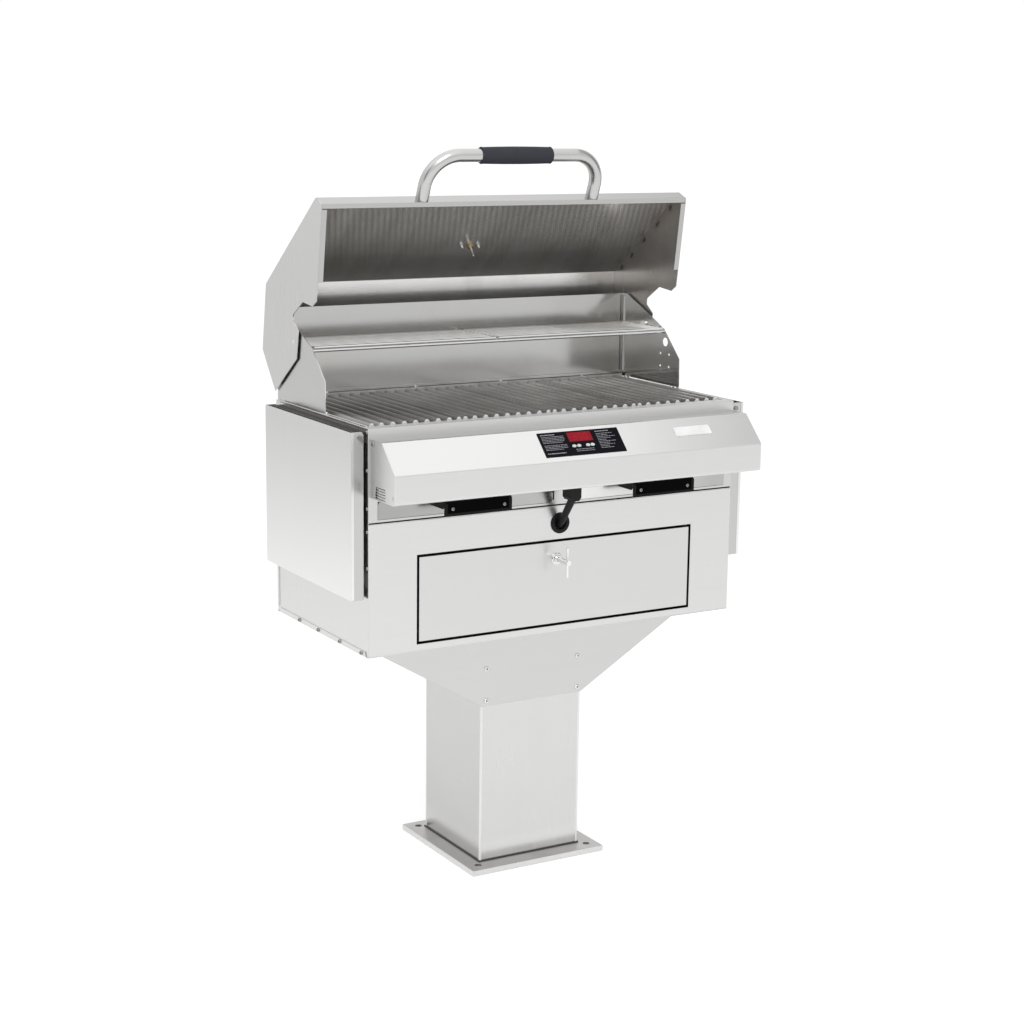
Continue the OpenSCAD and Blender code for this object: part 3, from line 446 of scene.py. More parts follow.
# Near-black: painted shade in the channels under the rim and round the console's vents
coated("channel_dark", (0.035, 0.030, 0.026), 0.50, 0.001, specular=0.2)
coated("pull_face", (0.0012, 0.0012, 0.0014), 0.45, 0.0012, specular=0.03)
coated("black_plastic", (0.010, 0.010, 0.011), 0.45, 0.001, specular=0.2)
coated("rubber", (0.010, 0.010, 0.011), 0.52, 0.0015, specular=0.2)
coated("foam", (0.040, 0.043, 0.052), 0.85, 0.0009, 0.4, 0.5, 0.6, specular=0.3)
coated("fascia_film", (0.0035, 0.0035, 0.0065), 0.25, 0.004, 0.02, 0.2, 0.1, specular=0.06)
coated("silver_key", (0.66, 0.70, 0.69), 0.3, 0.0008, 0.05, 0.15)
coated("print_grey", (0.34, 0.34, 0.37), 0.5, 0.0006, 0.02, 0.6, 0.2)
coated("badge_face", (0.90, 0.90, 0.90), 0.3, 0.001, 0.02, 0.1, 0.1)
coated("dial_white", (0.75, 0.75, 0.73), 0.4, 0.001, 0.02, 0.1, 0.1)
coated("scorched_weld", (0.055, 0.036, 0.026), 0.5, 0.002, 0.3, 0.8, 0.6)
glowing("display_window", (0.34, 0.008, 0.022), 0.7, (0.05, 0.002, 0.003))
glowing("display_digit", (0.46, 0.014, 0.034), 0.8, (0.10, 0.003, 0.005))


# Mesh helpers
def hang(piece, body, replaces=()):
    """Puts a piece in the scene, on its body, in the place of the CAD nodes that it stands for"""
    bpy.context.scene.collection.objects.link(piece)
    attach(piece, body)
    if replaces:
        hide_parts(*replaces)
    return piece


def finish_piece(name, bm, materials, body, replaces=(), smooth=None, rule=None, even=False):
    """Makes the object of a bmesh; rule picks a material for a face from its centre and normal"""
    bm.normal_update()
    if rule:
        for face in bm.faces:
            face.material_index = rule(face.calc_center_median() / MM, face.normal)
    mesh = bpy.data.meshes.new(name)
    bm.to_mesh(mesh)
    bm.free()
    for each in materials if isinstance(materials, (list, tuple)) else [materials]:
        mesh.materials.append(MATERIALS[each])
    mesh.polygons.foreach_set("use_smooth", [smooth is not None] * len(mesh.polygons))
    if smooth is not None:
        mesh.set_sharp_from_angle(angle=math.radians(smooth))
    piece = bpy.data.objects.new(name, mesh)
    if even:
        piece.modifiers.new("flat_faces_stay_flat", "WEIGHTED_NORMAL").keep_sharp = True
    hang(piece, body, replaces)


def node_mesh(name):
    """A copy of a CAD node's mesh, with its doubled points merged and its flat faces made whole"""
    double, flat = 0.002 * MM, math.radians(0.6)
    bm = bmesh.new()
    bm.from_mesh(NODES[name].data)
    bmesh.ops.remove_doubles(bm, verts=bm.verts, dist=double)
    bmesh.ops.dissolve_limit(bm, angle_limit=flat, verts=bm.verts, edges=bm.edges)
    return bm


def round_edges(bm, edges, width, segments=1):
    bmesh.ops.bevel(bm, geom=edges, offset=width * MM, offset_type="OFFSET", segments=segments, profile=0.5,
                    affect="EDGES", clamp_overlap=True, material=-1)


def dress(node, materials, width=0.0, smooth=50, rule=None):
    """A finished copy of a CAD node, its long sharp edges rounded as a brake or a file leaves them"""
    shortest, sharpest = 5 * MM, math.radians(30)
    bm = node_mesh(node)
    if width:
        edges = [e for e in bm.edges if e.is_manifold and e.calc_length() > shortest
                 and e.calc_face_angle(0.0) > sharpest]
        round_edges(bm, edges, width, segments=2)
    finish_piece(node + "_made", bm, materials, BODY_OF[node], [node], smooth=smooth, rule=rule, even=True)


def islands(node):
    """The middle and the size of each separate solid of a CAD node, in millimetres"""
    bm = node_mesh(node)
    left = set(bm.verts)
    boxes = []
    while left:
        edge = [left.pop()]
        group = set(edge)
        while edge:
            near = {e.other_vert(v) for v in edge for e in v.link_edges} & left
            left -= near
            group |= near
            edge = list(near)
        low, high = (Vector([pick(v.co[i] for v in group) for i in range(3)]) for pick in (min, max))
        boxes.append(((low + high) / 2 / MM, (high - low) / MM))
    bm.free()
    return sorted(boxes, key=lambda box: tuple(round(c, 3) for c in box[0]))


def settle(bm, before, place, index=0):
    """Places what a bmesh has gained since before, turns its faces outwards and gives them a material"""
    made = [v for v in bm.verts if v not in before]
    bmesh.ops.transform(bm, matrix=place, verts=made)
    faces = list({f for v in made for f in v.link_faces})
    bmesh.ops.recalc_face_normals(bm, faces=faces)
    for face in faces:
        face.material_index = index


def lathe(bm, profile, place, steps=32, closed=False, index=0):
    """Spins a profile of (radius, height) points in millimetres round local Z and places it"""
    before = set(bm.verts)
    points = [bm.verts.new((r * MM, 0, z * MM)) for r, z in profile]
    edges = [bm.edges.new(pair) for pair in zip(points, points[1:] + points[:1] if closed else points[1:])]
    bmesh.ops.spin(bm, geom=points + edges, cent=(0, 0, 0), axis=(0, 0, 1), angle=math.tau, steps=steps,
                   use_merge=True, use_duplicate=False)
    made = [v for v in bm.verts if v not in before]
    bmesh.ops.remove_doubles(bm, verts=made, dist=0.005 * MM)
    settle(bm, before, place, index)


def block(bm, size, place, edge=0.2, index=0):
    """A small block with rounded edges, its size in millimetres"""
    before = set(bm.verts)
    made = bmesh.ops.create_cube(bm, size=MM)["verts"]
    bmesh.ops.scale(bm, vec=size, verts=made)
    if edge:
        round_edges(bm, list({e for v in made for e in v.link_edges}), edge)
    settle(bm, before, place, index)


def raise_faces(bm, faces, height):
    """Makes flat faces solid, and gives back the points of their tops"""
    top = bmesh.ops.extrude_face_region(bm, geom=faces)["geom"]
    raised = [v for v in top if isinstance(v, bmesh.types.BMVert)]
    bmesh.ops.translate(bm, vec=(0, 0, height * MM), verts=raised)
    return raised


def nut(bm, across, height, place, index=0):
    """A six-sided nut that stands on local Z"""
    before = set(bm.verts)
    bmesh.ops.create_circle(bm, cap_ends=True, segments=6, radius=across / math.sqrt(3) * MM)
    rise = raise_faces(bm, [f for f in bm.faces if all(v not in before for v in f.verts)], height)
    crown = list({e for v in rise for e in v.link_edges if all(w in rise for w in e.verts)})
    round_edges(bm, crown, 0.6)
    settle(bm, before, place, index)


def facing(middle, direction):
    """A place whose local Z points in the given direction"""
    turn = Vector((0, 0, 1)).rotation_difference(Vector(direction)).to_matrix().to_4x4()
    return shift(*middle) @ turn


def screw_head(bm, foot, direction, radius, height, socket=0.42):
    """A domed head with a socket lined in painted shade, standing on its foot point; socket is its share of
    the radius
    """
    place = facing(foot, direction)
    hole, floor = radius * socket, height * 0.45
    lathe(bm, [(0, 0), (radius, 0), (radius, height * 0.35), (radius * 0.86, height * 0.74),
               (radius * 0.62, height * 0.93), (hole, height), (hole, floor)], place, 20)
    lathe(bm, [(hole, floor), (hole * 0.3, floor * 0.8), (0, floor * 0.8)], place, 20, index=1)


# Power cord, from the grommet in the front to the plug under the console
CORD_RADIUS = 6.3
CORD_ROUTE = [
    (3, -199, 704), (3, -203, 706.3), (1.8, -209.5, 711.2), (0.6, -216, 717.4),
    (0, -222, 724.8), (0, -231, 737.2), (0, -240, 749.6), (0, -249, 762)
]
CORD_STEPS = 3


def smooth_route(points, steps):
    """Points along one smooth curve through the route, in metres"""
    route = [Vector(p) * MM for p in points]
    ends = [2 * route[0] - route[1]] + route + [2 * route[-1] - route[-2]]
    line = []
    for a, b, c, d in zip(ends, ends[1:], ends[2:], ends[3:]):
        for k in range(steps):
            t = k / steps
            line.append(0.5 * (2 * b + (c - a) * t + (2 * a - 5 * b + 4 * c - d) * t * t
                               + (3 * b - 3 * c + d - a) * t * t * t))
    return line + [route[-1]]


def make_cord():
    line = smooth_route(CORD_ROUTE, CORD_STEPS)
    curve = bpy.data.curves.new("supply_cord", "CURVE")
    curve.dimensions = "3D"
    spline = curve.splines.new("POLY")
    spline.points.add(len(line) - 1)
    for point, at in zip(spline.points, line):
        point.co = (*at, 1)
    spline.use_smooth = True
    curve.bevel_depth = CORD_RADIUS * MM
    curve.bevel_resolution = 6
    curve.use_fill_caps = True
    curve.materials.append(MATERIALS["rubber"])
    cord = hang(bpy.data.objects.new("supply_cord", curve), "frame", ["power_cord"])


make_cord()


# Plain sheet metal: node, finish and width of the rounding
for sheet_node, finish, edge in [
    ("hopper_front", "steel_hopper", 0.6),
    ("hopper_shell", "steel_hopper", 0.5),
    ("side_panel_left", "steel_side", 0.4),
    ("side_panel_right", "steel_side", 0.4),
    ("rear_panel", "steel_side", 0.4),
    ("floor_pan", "steel_side", 0.4),
    ("upper_front", "steel_upper", 0.4),
    ("back_guard", "steel_guard", 0.4),
    ("console_caps", "steel_cap", 0.3),
    ("tray_left", "steel_tray", 0.4),
    ("tray_right", "steel_tray_right", 0.4),
    ("tray_pull_left", "powder_coat", 0.8),
    ("tray_pull_right", "powder_coat", 0.8),
    ("badge_plate", "badge_face", 0.4),
]:
    dress(sheet_node, finish, edge)


# Sheet metal of more than one finish: each rule gives the number of a face's finish in its list
def console_faces(at, normal):
    return 1 if normal.y < -0.9 else 0


# Shelf faces that look forwards or backwards take the darker copy, painted shade
def flange_faces(at, normal):
    return 1 if abs(normal.y) > 0.5 else 0


# The column's sides take its darker copy, painted shade
def column_sides(at, normal):
    return 1 if abs(normal.x) > 0.5 else 0


def in_gap(at, normal):
    """The returned flanges that look into the gap round the door are painted dark, as the gap's shade"""
    door_reach, door_foot = 330, 500
    behind = abs(normal.y) < 0.5 and at.y > FRONT_Y + 1
    return 1 if behind and abs(at.x) < door_reach and at.z > door_foot else 0


def looks_inwards(at, normal):
    return 1 if at.x * normal.x < -0.5 * abs(at.x) else 0


def lid_side(at, normal):
    """Outside, inside, lip and front band of the lid's skin, judged with the lid shut"""
    middle_y, middle_z, lip_end = 60, 120, -150
    shut = LID_SHUT @ (at * MM) / MM
    out = LID_SHUT.to_3x3() @ normal
    if shut.y < lip_end:
        return 2
    if out.y * (shut.y - middle_y) + out.z * (shut.z - middle_z) > 0:
        return 0
    return 3 if out.z < -0.9 else 1


def lid_end_faces(at, normal):
    """Outside and inside of the lid's ends, and their folds that face forwards when the lid is up"""
    fold_top = 60
    shut = LID_SHUT @ (at * MM) / MM
    out = LID_SHUT.to_3x3() @ normal
    return 2 if out.z < -0.7 and shut.z < fold_top else looks_inwards(at, normal)


def plate_edges(at, normal):
    """The floor plate's four outer edges, not the walls of its holes"""
    rim = 6
    return 1 if abs(normal.z) < 0.5 and max(abs(at.x), abs(at.y)) > PLATE_HALF - rim else 0


def rail_shade(at, normal):
    """The rails' tops and fronts, in the channel under the rim, take painted shade"""
    return 1 if normal.y < -0.5 or normal.z > 0.5 else 0


def front_land(at, normal):
    """The strip of the rim in front of the grates"""
    land_back = -150
    return 1 if normal.z > 0.5 and at.y < land_back else 0


def bar_end_faces(at, normal):
    """The bars' ends, in front with a painted highlight, and at the back"""
    middle_half = 150
    if abs(normal.y) < 0.5 or abs(at.y) < middle_half:
        return 0
    return 1 if normal.y < 0 else 2


for mixed_node, finishes, edge, pick in [
    ("column", ["steel_column", "steel_column_shaded_side"], 0.5, column_sides),
    ("console_body", ["steel_console", "steel_front"], 0.3, console_faces),
    ("shelf_left", ["steel_shelf", "steel_flange_shaded"], 0.6, flange_faces),
    ("shelf_right", ["steel_shelf", "steel_flange_shaded"], 0.6, flange_faces),
    ("lower_front", ["steel_front", "gap_steel"], 0.4, in_gap),
    ("door", ["steel_door", "gap_steel"], 0.5, in_gap),
    ("lid_skin", ["steel_lid", "lid_inside", "lid_lip", "lid_band_lit"], 0.3, lid_side),
    ("base_plate", ["steel_base_shaded", "steel_side"], 1.2, plate_edges),
    ("side_rails", ["steel_side", "channel_dark"], 0.4, rail_shade),
    ("rim_frame", ["steel_rim", "rim_land"], 0.5, front_land),
    ("lid_end_left", ["steel_lid_end", "lid_end_inside", "lid_lip"], 0.3, lid_end_faces),
    ("lid_end_right", ["steel_lid_end", "lid_end_inside", "lid_lip"], 0.3, lid_end_faces),
    ("wing_left", ["steel_wing_outside", "steel_wing"], 0.3, looks_inwards),
    ("wing_right", ["steel_wing_outside", "steel_wing"], 0.3, looks_inwards),
]:
    dress(mixed_node, finishes, edge, rule=pick)
for number in range(1, 5):
    dress(f"grate_{number}", ["steel_grate", "grate_end_highlight", "ledge_fold"], smooth=40, rule=bar_end_faces)

# Round and moulded pieces, shaded smooth: node, finish and width of the rounding
for round_node, finish, edge in [
    ("firebox_liner", "steel_liner", 0),
    ("element_rests", "steel_liner", 0),
    ("heating_element", "element_tube", 0),
    ("tray_runners", "steel_side", 0),
    ("lid_pivots", "chrome", 0),
    ("rack_rails", "steel_wire", 0),
    ("door_pins", "chrome", 0),
    ("rack_left", "steel_wire", 0),
    ("rack_right", "steel_wire", 0),
    ("shelf_bolts", "dark_zinc", 0),
    ("power_plug", "black_plastic", 1.0),
    ("lid_handle", "steel_tube", 0),
    ("latch_handle", "chrome", 0),
]:
    dress(round_node, finish, edge, smooth=40)


def make_screws(node, toward, socket=0.42, finish="chrome"):
    """Domed heads in the place of a node's plain ones; toward gives the side that a head faces"""
    bm = bmesh.new()
    for middle, size in islands(node):
        axis = min((X, Y, Z), key=lambda i: size[i])
        out = toward(middle, axis)
        direction = [0, 0, 0]
        direction[axis] = out
        foot = middle.copy()
        foot[axis] -= out * size[axis] / 2
        screw_head(bm, foot, direction, max(size) / 2, size[axis], socket)
    finish_piece(node + "_made", bm, [finish, "screw_socket_shade"], BODY_OF[node], [node], smooth=40)


make_screws("hopper_screws", lambda at, axis: -1, socket=0.36)
make_screws("case_screws", lambda at, axis: math.copysign(1, at.x), finish="dark_zinc")
make_screws("wing_fasteners", lambda at, axis: 1 if axis == Z else -1)


# Small relief on the sheet metal
def pull_front(node):
    """Across, out and foot of the plate in which a tray's pull holds its screws"""
    lip = 2
    low, high = extent(node)
    return (low[0] + high[0]) / 2, low[1] + lip, low[2]


def make_pull_screws(node):
    """Two pan heads that hold a tray's pull"""
    spread, up = 54.5, 12.5
    middle, front, foot = pull_front(node)
    bm = bmesh.new()
    for side in SIDES:
        screw_head(bm, (middle + side * spread, front, foot + up), (0, -1, 0), 3.6, 2.6, 0.34)
    finish_piece(node + "_screws", bm, ["dark_zinc", "screw_socket_shade"], BODY_OF[node],
                 smooth=40)


def make_pull_face(node):
    """Darker middle of a pull's front"""
    size, up = (130, 0.8, 22), 15
    middle, front, foot = pull_front(node)
    bm = bmesh.new()
    block(bm, size, shift(middle, front, foot + up), 0.35)
    finish_piece(node + "_face", bm, "pull_face", BODY_OF[node])


def make_guard_folds():
    """Near-white strips at the back guard's two ends, a painted highlight on its folded front edges, and the
    ledge along its foot
    """
    wide, thick, above_foot, below_top = 2.4, 0.8, 14, 4
    ledge, ledge_out = (797, 1.6, 8), 2
    low, high = extent("back_guard")
    foot, top = low[2] + above_foot, high[2] - below_top
    bm = bmesh.new()
    for side in SIDES:
        block(bm, (wide, thick, top - foot),
              shift(side * (high[0] - wide / 2), low[1] - thick / 2, (foot + top) / 2), 0.3)
    finish_piece("guard_corner_strips", bm, "bright_fold", "frame")
    bm = bmesh.new()
    block(bm, ledge, shift(0, low[1] - ledge_out, low[2] + ledge[2] / 2), 0.5)
    finish_piece("guard_foot_ledge", bm, "ledge_fold", "frame")


def make_shelf_hems():
    """Hemmed front edges of the side shelves"""
    wide, thick, inset, short = 6, 0.6, 3.3, 2
    for side, node in zip(SIDES, ("shelf_left", "shelf_right")):
        low, high = extent(node)
        outer = max(abs(low[0]), abs(high[0]))
        bm = bmesh.new()
        block(bm, (wide, thick, high[2] - low[2] - short),
              shift(side * (outer - inset), low[1] - thick / 2, (low[2] + high[2]) / 2), 0.25)
        finish_piece(node + "_hem", bm, "steel_shelf", BODY_OF[node])


def make_column_edge_highlights():
    """Near-white rounded strips up the column's four corners, a painted highlight on its edges"""
    radius, inset, above_foot, past_hopper = 3, 2.2, 0.5, 3
    low, high = extent("column")
    foot, top = low[2] + above_foot, extent("hopper_front")[0][2] + past_hopper
    bm = bmesh.new()
    for x in (low[0] + inset, high[0] - inset):
        for y in (low[1] + inset, high[1] - inset):
            lathe(bm, [(0, foot), (radius, foot), (radius, top), (0, top)], shift(x, y, 0), 20)
    finish_piece("column_edge_highlights", bm, "bright_fold", "frame", smooth=50)


def make_rim_gap_shading():
    """Dark strips that paint the shade of the channels under the rim, behind the shelves' hinges"""
    channel, channel_x, channel_down = (0.8, 374, 8.5), 406.8, 11.8
    line, line_x, line_down = (0.6, 374, 1), 406.7, 2.4
    middle = -2
    bm = bmesh.new()
    for side in SIDES:
        block(bm, channel, shift(side * channel_x, middle, RIM_Z - channel_down))
        block(bm, line, shift(side * line_x, middle, RIM_Z - line_down))
    finish_piece("rim_gap_shading", bm, "channel_dark", "frame")


def make_rim_highlight_lines():
    """Near-white strips along the rim's two sides, and inside them in front of the wings, a painted highlight
    on its edges
    """
    thick = 0.6
    outer, outer_x = (1.5, 398, thick), 405.5
    inner, inner_x, inner_y = (1.3, 216, thick), 395.2, -68
    bm = bmesh.new()
    for side in SIDES:
        block(bm, outer, shift(side * outer_x, 0, RIM_Z + thick / 2))
        block(bm, inner, shift(side * inner_x, inner_y, RIM_Z + thick / 2))
    finish_piece("rim_highlight_lines", bm, "bright_fold", "frame")


def make_seam_strip():
    """Strip that closes part of the seam under the trays"""
    wide, thick, back, share = 811, 1.0, 0.8, 0.32
    low, high = extent("lower_front")[1][2], extent("upper_front")[0][2]
    tall = share * (high - low)
    bm = bmesh.new()
    block(bm, (wide, thick, tall), shift(0, FRONT_Y + back, low + tall / 2), 0.15)
    finish_piece("seam_strip", bm, "steel_front", "frame")


PULLS = ("tray_pull_left", "tray_pull_right")
for pull in PULLS:
    make_pull_face(pull)
make_guard_folds()
make_shelf_hems()
make_column_edge_highlights()
make_rim_gap_shading()
make_seam_strip()
make_rim_highlight_lines()
for pull in PULLS:
    make_pull_screws(pull)


# Pieces that are made anew
def make_grip():
    """Foam sleeve, slightly fuller at its middle, with a soft lip at each end"""
    half, bore, radius, crown, steps = 77.5, 12.75, 16.8, 1.0, 10
    lip, lip_foot, lip_wide, run_in, off_middle = 16.4, 15.4, 1.2, 3, -5.5
    step = 2 * (half - run_in) / steps
    outside = [(radius - crown * (2 * k / steps - 1) ** 2, run_in - half + k * step)
               for k in range(steps + 1)]
    profile = [(bore, -half), (lip_foot, -half), (lip, -half + lip_wide)] + outside + [
        (lip, half - lip_wide), (lip_foot, half), (bore, half)]
    bm = bmesh.new()
    lathe(bm, profile, GRIP @ shift(0, 0, off_middle), 40, closed=True)
    finish_piece("grip_sleeve", bm, "foam", "lid", ["handle_grip"], smooth=50)


def make_grommet():
    """Rubber ring in the front, with a cup that the cord goes into"""
    bm = bmesh.new()
    lathe(bm, [(0, -8), (15, -8), (15, 0), (20.5, 0), (20.5, 1.5), (20.1, 2.4), (19.2, 3), (15, 3),
               (13.4, 2.6), (12.5, 1.4), (12.5, -4), (0, -4)], GROMMET, 40)
    finish_piece("grommet_ring", bm, "rubber", "frame", ["cord_grommet"], smooth=40)


def make_rose():
    """Round plate and neck behind the latch's handle, with the bore for its shaft"""
    bm = bmesh.new()
    lathe(bm, [(4.05, 0), (12, 0), (12, 2.6), (10.8, 4), (8.6, 4.3), (8, 5.2), (8, 9.2), (7.2, 10),
               (4.05, 10)], LATCH, 32, closed=True)
    finish_piece("latch_rose_made", bm, "chrome", BODY_OF["latch_rose"], ["latch_rose"], smooth=35)


def make_keys():
    """Four oval keys, each a plug in its hole and a wider crowned cap that clears the panel when pressed"""
    key_up, plug_squash, cap_squash = -43.5, 4.8 / 8.8, 0.72
    for number in range(1, 5):
        node = f"button_{number}"
        low, high = extent(node)
        bm = bmesh.new()
        place = SLOPE @ shift((low[0] + high[0]) / 2, key_up, 0)
        lathe(bm, [(0, -3.7), (4.4, -3.7), (4.4, 2.25), (0, 2.25)],
              place @ Matrix.Diagonal((1, plug_squash, 1, 1)), 28)
        lathe(bm, [(0, 2.22), (4.6, 2.22), (4.55, 2.4), (4.1, 2.58), (3.2, 2.67), (0, 2.7)],
              place @ Matrix.Diagonal((1, cap_squash, 1, 1)), 28)
        finish_piece(f"key_{number}", bm, "silver_key", BODY_OF[node], [node], smooth=40)


def make_print():
    """Rows of plain light dashes in the place of the panel's small print"""
    heading, line, ink, ink_z = 1.8, 1.1, 0.12, 1.26
    dash, gap, shortest = (2.5, 7.5), 1.1, 1.5
    left, left_end, right = -80, -31, 40
    random.seed(7)
    bm = bmesh.new()

    def row(x0, x1, y, height=line):
        x = x0
        while x < x1 - shortest:
            width = min(random.uniform(*dash), x1 - x)
            block(bm, (width, height, ink), SLOPE @ shift(x + width / 2, y, ink_z), 0)
            x += width + gap

    row(left, -48, -14, heading)
    for k in range(5):
        row(left, left_end - 6 * (k == 4), -18.5 - 3.4 * k)
    for k in range(4):
        row(left, left_end - 9 * (k == 3), -38 - 3.4 * k)
    row(left, -40, -56.5, heading)
    for y in (-51, -55):
        row(-16, 26, y)
    row(right, 70, -14, heading)
    for k, width in enumerate((36, 24, 40, 30, 18, 38, 26, 33, 20, 28)):
        row(right, right + width, -19.5 - 3.6 * k)
    finish_piece("panel_print", bm, "print_grey", "frame")


# Bars of a seven-bar digit: (across, up) of each, in half widths of a digit
SEGMENTS = {"A": (0, 2), "B": (1, 1), "C": (1, -1), "D": (0, -2), "E": (-1, -1), "F": (-1, 1), "G": (0, 0)}
LEVEL_SEGMENTS = "ADG"
DIGITS = {"3": "ABCDG", "5": "ACDFG", "0": "ABCDEF"}
WINDOW = (3.75, -22.25)


def make_display():
    """Red window with three plain digits, in the panel's pocket"""
    digit_step, half_width = 12, 3.1
    bm = bmesh.new()
    block(bm, (52.2, 21.2, 0.35), SLOPE @ shift(*WINDOW, 0.8), 0.1)
    finish_piece("display_window", bm, "display_window", "frame")
    bm = bmesh.new()
    for k, digit in enumerate("350"):
        for name in DIGITS[digit]:
            across, up = SEGMENTS[name]
            size = (5.4, 1.0, 0.1) if name in LEVEL_SEGMENTS else (1.0, 5.2, 0.1)
            x = WINDOW[0] + digit_step * (k - 1) + half_width * across
            block(bm, size, SLOPE @ shift(x, WINDOW[1] + half_width * up, 1.03), 0)
    finish_piece("display_digits", bm, "display_digit", "frame")


def make_thermometer():
    """Dial outside the lid, with its stem, nut and two studs inside"""
    metal, brass, dial, mark = range(4)
    face, marks, mark_step, first_mark, needle_turn = 12.5, 13, 22.5, 135, 128
    bm = bmesh.new()
    lathe(bm, [(0, 0), (38, 0), (38, 8.6), (37.2, 9.8), (35.4, 10.4), (35, 13.2), (34.2, 14), (32.6, 14),
               (32, 12.2), (0, 12.2)], LID_FACE, 48, index=metal)
    lathe(bm, [(1.7, 0), (1.7, -26.5), (1.2, -27.7), (0, -28)], LID_FACE, 16, index=metal)
    for x in (-19, 19):
        lathe(bm, [(2, 0), (2, -8.5), (1.5, -9), (0, -9)], LID_FACE @ shift(x, 0, 0), 16, index=metal)
        nut(bm, 7.4, 3.4, LID_FACE @ shift(x, 0, -5.2), index=metal)
    nut(bm, 9.5, 6.6, LID_FACE @ shift(0, 0, -8.4), index=brass)
    lathe(bm, [(0, 12.25), (31.6, 12.25), (31.6, face), (0, face)], LID_FACE, 48, index=dial)
    for k in range(marks):
        size = (0.9, 3.5, 0.2) if k % 3 else (1.6, 5.5, 0.2)
        turn = tilt(first_mark - mark_step * k, "Z") @ shift(0, 26.5, face + 0.1)
        block(bm, size, LID_FACE @ turn, 0, index=mark)
    block(bm, (1.8, 27, 0.5), LID_FACE @ tilt(needle_turn, "Z") @ shift(0, 9, face + 0.4), 0.2, index=mark)
    lathe(bm, [(0, face), (3.2, face), (3.0, 13.4), (0, 13.7)], LID_FACE, 20, index=mark)
    finish_piece("thermometer_made", bm, ["chrome", "brass", "dial_white", "powder_coat"], "lid",
                 ["thermometer"], smooth=40)


def make_weld_tacks():
    """Scorched tack welds down the inside of the lid's right end, along the skin's long slope"""
    inner_face, slope_y, slope_z, fall = 407.1, 139.9, 1220.8, 0.766
    run, drop = 0.79, 0.61
    random.seed(11)
    bm = bmesh.new()
    for y in (43, 88, 136, 182, 220):
        z = slope_z - fall * (y - slope_y)
        for k in range(5):
            lean = random.choice((-35, 25, 40)) + random.uniform(-12, 12)
            along, inward = random.uniform(-5, 5), random.uniform(7, 9)
            place = shift(inner_face, y + run * along - drop * inward, z - drop * along - run * inward)
            place = place @ tilt(-90, "Y") @ tilt(lean, "Z")
            lathe(bm, [(0, 0.9), (2.4, 0.7), (4, 0), (0, 0)],
                  place @ Matrix.Diagonal((random.uniform(1.1, 1.6), 0.45, 1, 1)), 12)
    finish_piece("weld_tacks", bm, "scorched_weld", "lid", smooth=60)


def make_vent_blades():
    """Slats that stand just inside the slots of the console's ends, and dark lines round the vent, painted as
    the slots' shade
    """
    slats, first_slat, slat_step, inside, face = 4, 798.55, 5, 402.5, 403.6
    bm = bmesh.new()
    for side in SIDES:
        for k in range(slats):
            block(bm, (0.6, 32, 1.5),
                  shift(side * inside, -248.5, first_slat + slat_step * k) @ tilt(side * 20, "Y"), 0.1)
        block(bm, (0.5, 1.8, 21), shift(side * face, -229.5, 807), 0.1, index=1)
        block(bm, (0.5, 36, 1.2), shift(side * face, -246.5, 817.5), 0.1, index=1)
    finish_piece("vent_blades", bm, ["steel_edge", "channel_dark"], "frame")


def make_foot_seam():
    """Dark bead round the column's foot, where it meets the floor plate"""
    width, height = 2.4, 2
    low, high = extent("column")
    bm = bmesh.new()
    before = set(bm.verts)
    bmesh.ops.create_grid(bm, x_segments=1, y_segments=1, size=((high[0] - low[0]) / 2 + width) * MM)
    bmesh.ops.inset_region(bm, faces=bm.faces[:], thickness=width * MM, use_even_offset=True,
                           use_boundary=True)
    middle = [f for f in bm.faces if f.calc_center_median().length < 0.1 * MM]
    bmesh.ops.delete(bm, geom=middle, context="FACES")
    raise_faces(bm, bm.faces[:], height)
    settle(bm, before, shift(0, (low[1] + high[1]) / 2, PLATE_TOP))
    finish_piece("foot_seam", bm, "gap_steel", "frame")


make_grip()
make_grommet()
make_rose()
make_keys()
make_print()
make_display()
make_thermometer()
make_weld_tacks()
make_vent_blades()
make_foot_seam()

# The control box keeps its CAD shape
control_box = NODES["control_module"].data.materials
control_box.clear()
control_box.append(MATERIALS["fascia_film"])


# Floor, light and background
# Dark cards: direction, half width in radians, and share of the light that each takes away
CARDS = [((0.98, -0.2, 0), 0.20, 0.75), ((-0.94, -0.34, 0), 0.16, 0.7), ((0.1, 0.99, 0), 0.14, 0.6)]


def make_studio_flags():
    """Dark cards beside the grill, which give round metal its stripes; flat faces don't see them"""
    soft_out, soft_in = 0.02, 0.01
    tree, given, out = new_group("studio_flags", {"Way": (1, 0, 0)}, ["Light"])
    level = vector_calc(tree, "MULTIPLY", given["Way"], (1, 1, 0))["Vector"]
    ahead = vector_calc(tree, "NORMALIZE", level)["Vector"]
    light = 1.0
    for card, half, dark in CARDS:
        meet = vector_calc(tree, "DOT_PRODUCT", ahead, card)["Value"]
        edge = math.cos(half)
        light = product(tree, light, ramp(tree, meet, edge - soft_out, edge + soft_in, 1, 1 - dark))
    feed(tree, out["Light"], light)
    return tree


FLAGS = make_studio_flags()


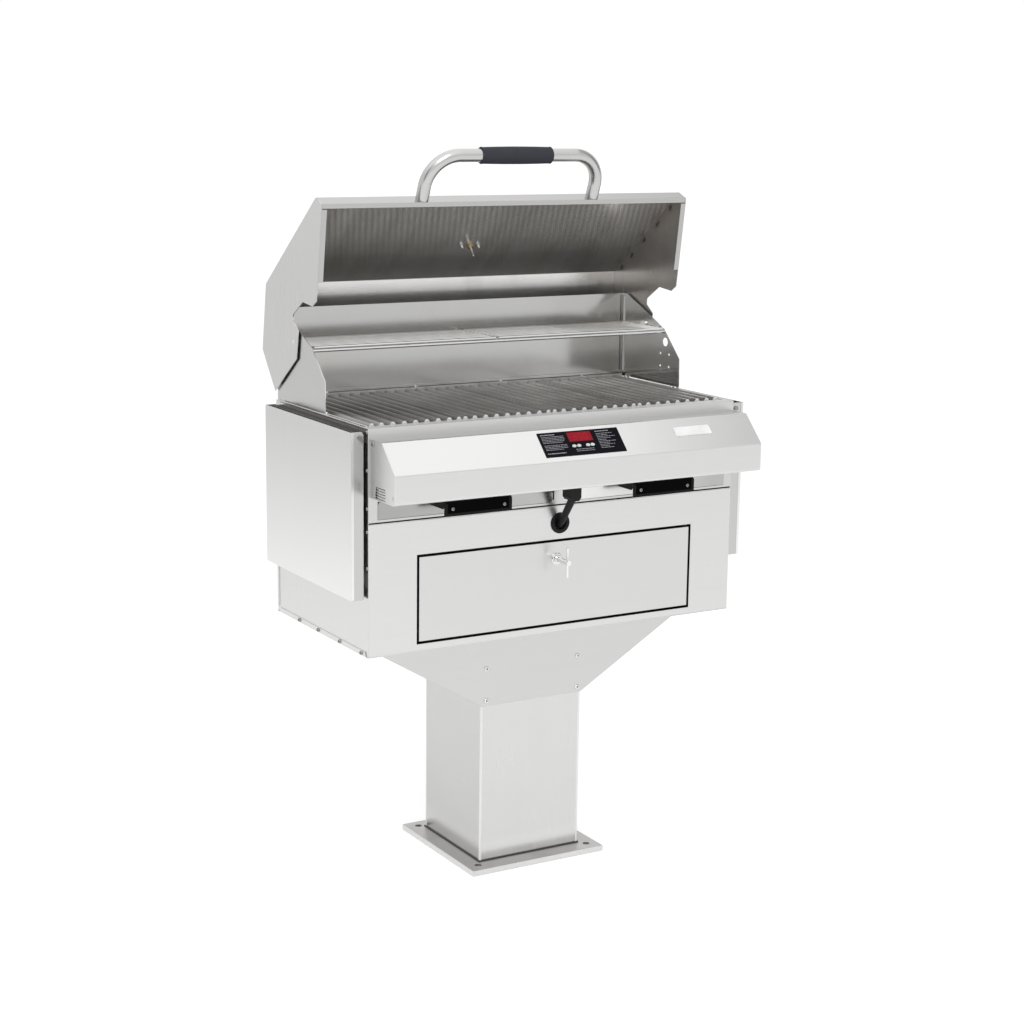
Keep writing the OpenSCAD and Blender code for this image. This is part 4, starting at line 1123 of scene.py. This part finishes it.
def make_floor():
    """White floor that keeps the shadow, and that metal sees as a grey one, darker behind the grill"""
    camera_glow, card_depth, cards_from, cards_to = 0.42, 1.1, 5.6, 6.2
    near, distant, near_glow, distant_glow = 1.8, 5.5, 0.36, 0.12
    bm = bmesh.new()
    bmesh.ops.create_grid(bm, x_segments=1, y_segments=1, size=40.0)
    mesh = bpy.data.meshes.new("floor")
    bm.to_mesh(mesh)
    bm.free()
    material, tree, shader = new_material("floor_white", 0.0, 0.7)
    speck = use_group(tree, PATCHES, Size=1.5, Cover=0.5, Edge=0.4)["Mask"]
    base = mix(tree, "RGBA", speck, (0.86, 0.86, 0.86, 1), (0.84, 0.84, 0.84, 1))
    tree.links.new(base, shader.inputs["Base Color"])
    shader.inputs["Specular IOR Level"].default_value = 0.2
    path = add(tree, "LightPath").outputs
    spot = object_place(tree)
    away = ramp(tree, split(tree, spot)[Y], near, distant, near_glow, distant_glow)
    far = ramp(tree, vector_calc(tree, "LENGTH", spot)["Value"], cards_from, cards_to)
    carded = less(tree, 1.0, use_group(tree, FLAGS, Way=spot)["Light"])
    shade = product(tree, product(tree, far, carded), card_depth)
    in_metal = product(tree, path["Is Glossy Ray"], less(tree, away, shade))
    seen = total(tree, product(tree, path["Is Camera Ray"], camera_glow), in_metal)
    shader.inputs["Emission Color"].default_value = (1, 1, 1, 1)
    tree.links.new(seen, shader.inputs["Emission Strength"])
    mesh.materials.append(material)
    floor = bpy.data.objects.new("floor", mesh)
    bpy.context.scene.collection.objects.link(floor)


def make_world():
    """White for the camera, and for metal a soft ceiling that is brighter on the left"""
    wall, diffuse_sky, white = 0.9, 0.75, 1.01
    turn_left, turn_right, left_light, right_light = 0.52, 0.63, 1.27, 0.58
    wall_top, ceiling_foot = 0.3, 0.7
    world = bpy.data.worlds.new("studio")
    world.use_nodes = True
    tree = world.node_tree
    path = add(tree, "LightPath").outputs
    way = add(tree, "TexCoord").outputs["Generated"]
    parts = split(tree, way)
    across = ramp(tree, parts[X], turn_left, turn_right, left_light, right_light)
    ceiling = ramp(tree, parts[Z], wall_top, ceiling_foot)
    cards = use_group(tree, FLAGS, Way=way)["Light"]
    in_metal = mix(tree, "FLOAT", ceiling, product(tree, cards, wall), across)
    soft = mix(tree, "FLOAT", path["Is Glossy Ray"], diffuse_sky, in_metal)
    clear = calc(tree, "MAXIMUM", path["Is Camera Ray"], path["Is Transmission Ray"])
    strength = mix(tree, "FLOAT", clear, soft, white)
    tree.nodes["Background"].inputs["Color"].default_value = (1, 1, 1, 1)
    tree.links.new(strength, tree.nodes["Background"].inputs["Strength"])
    bpy.context.scene.world = world


def make_lamp(name, at, aim, size, power):
    data = bpy.data.lights.new(name, "AREA")
    data.shape = "SQUARE"
    data.size = size
    data.energy = power
    lamp = bpy.data.objects.new(name, data)
    bpy.context.scene.collection.objects.link(lamp)
    turn = (Vector(aim) - Vector(at)).to_track_quat("-Z", "Y").to_matrix().to_4x4()
    lamp.matrix_world = Matrix.Translation(Vector(at)) @ turn


make_floor()
make_world()
make_lamp("key_lamp", (-1.5, -3.0, 4.0), (0, 0, 0.7), 2.0, 50)

bpy.context.scene.view_settings.view_transform = "Standard"
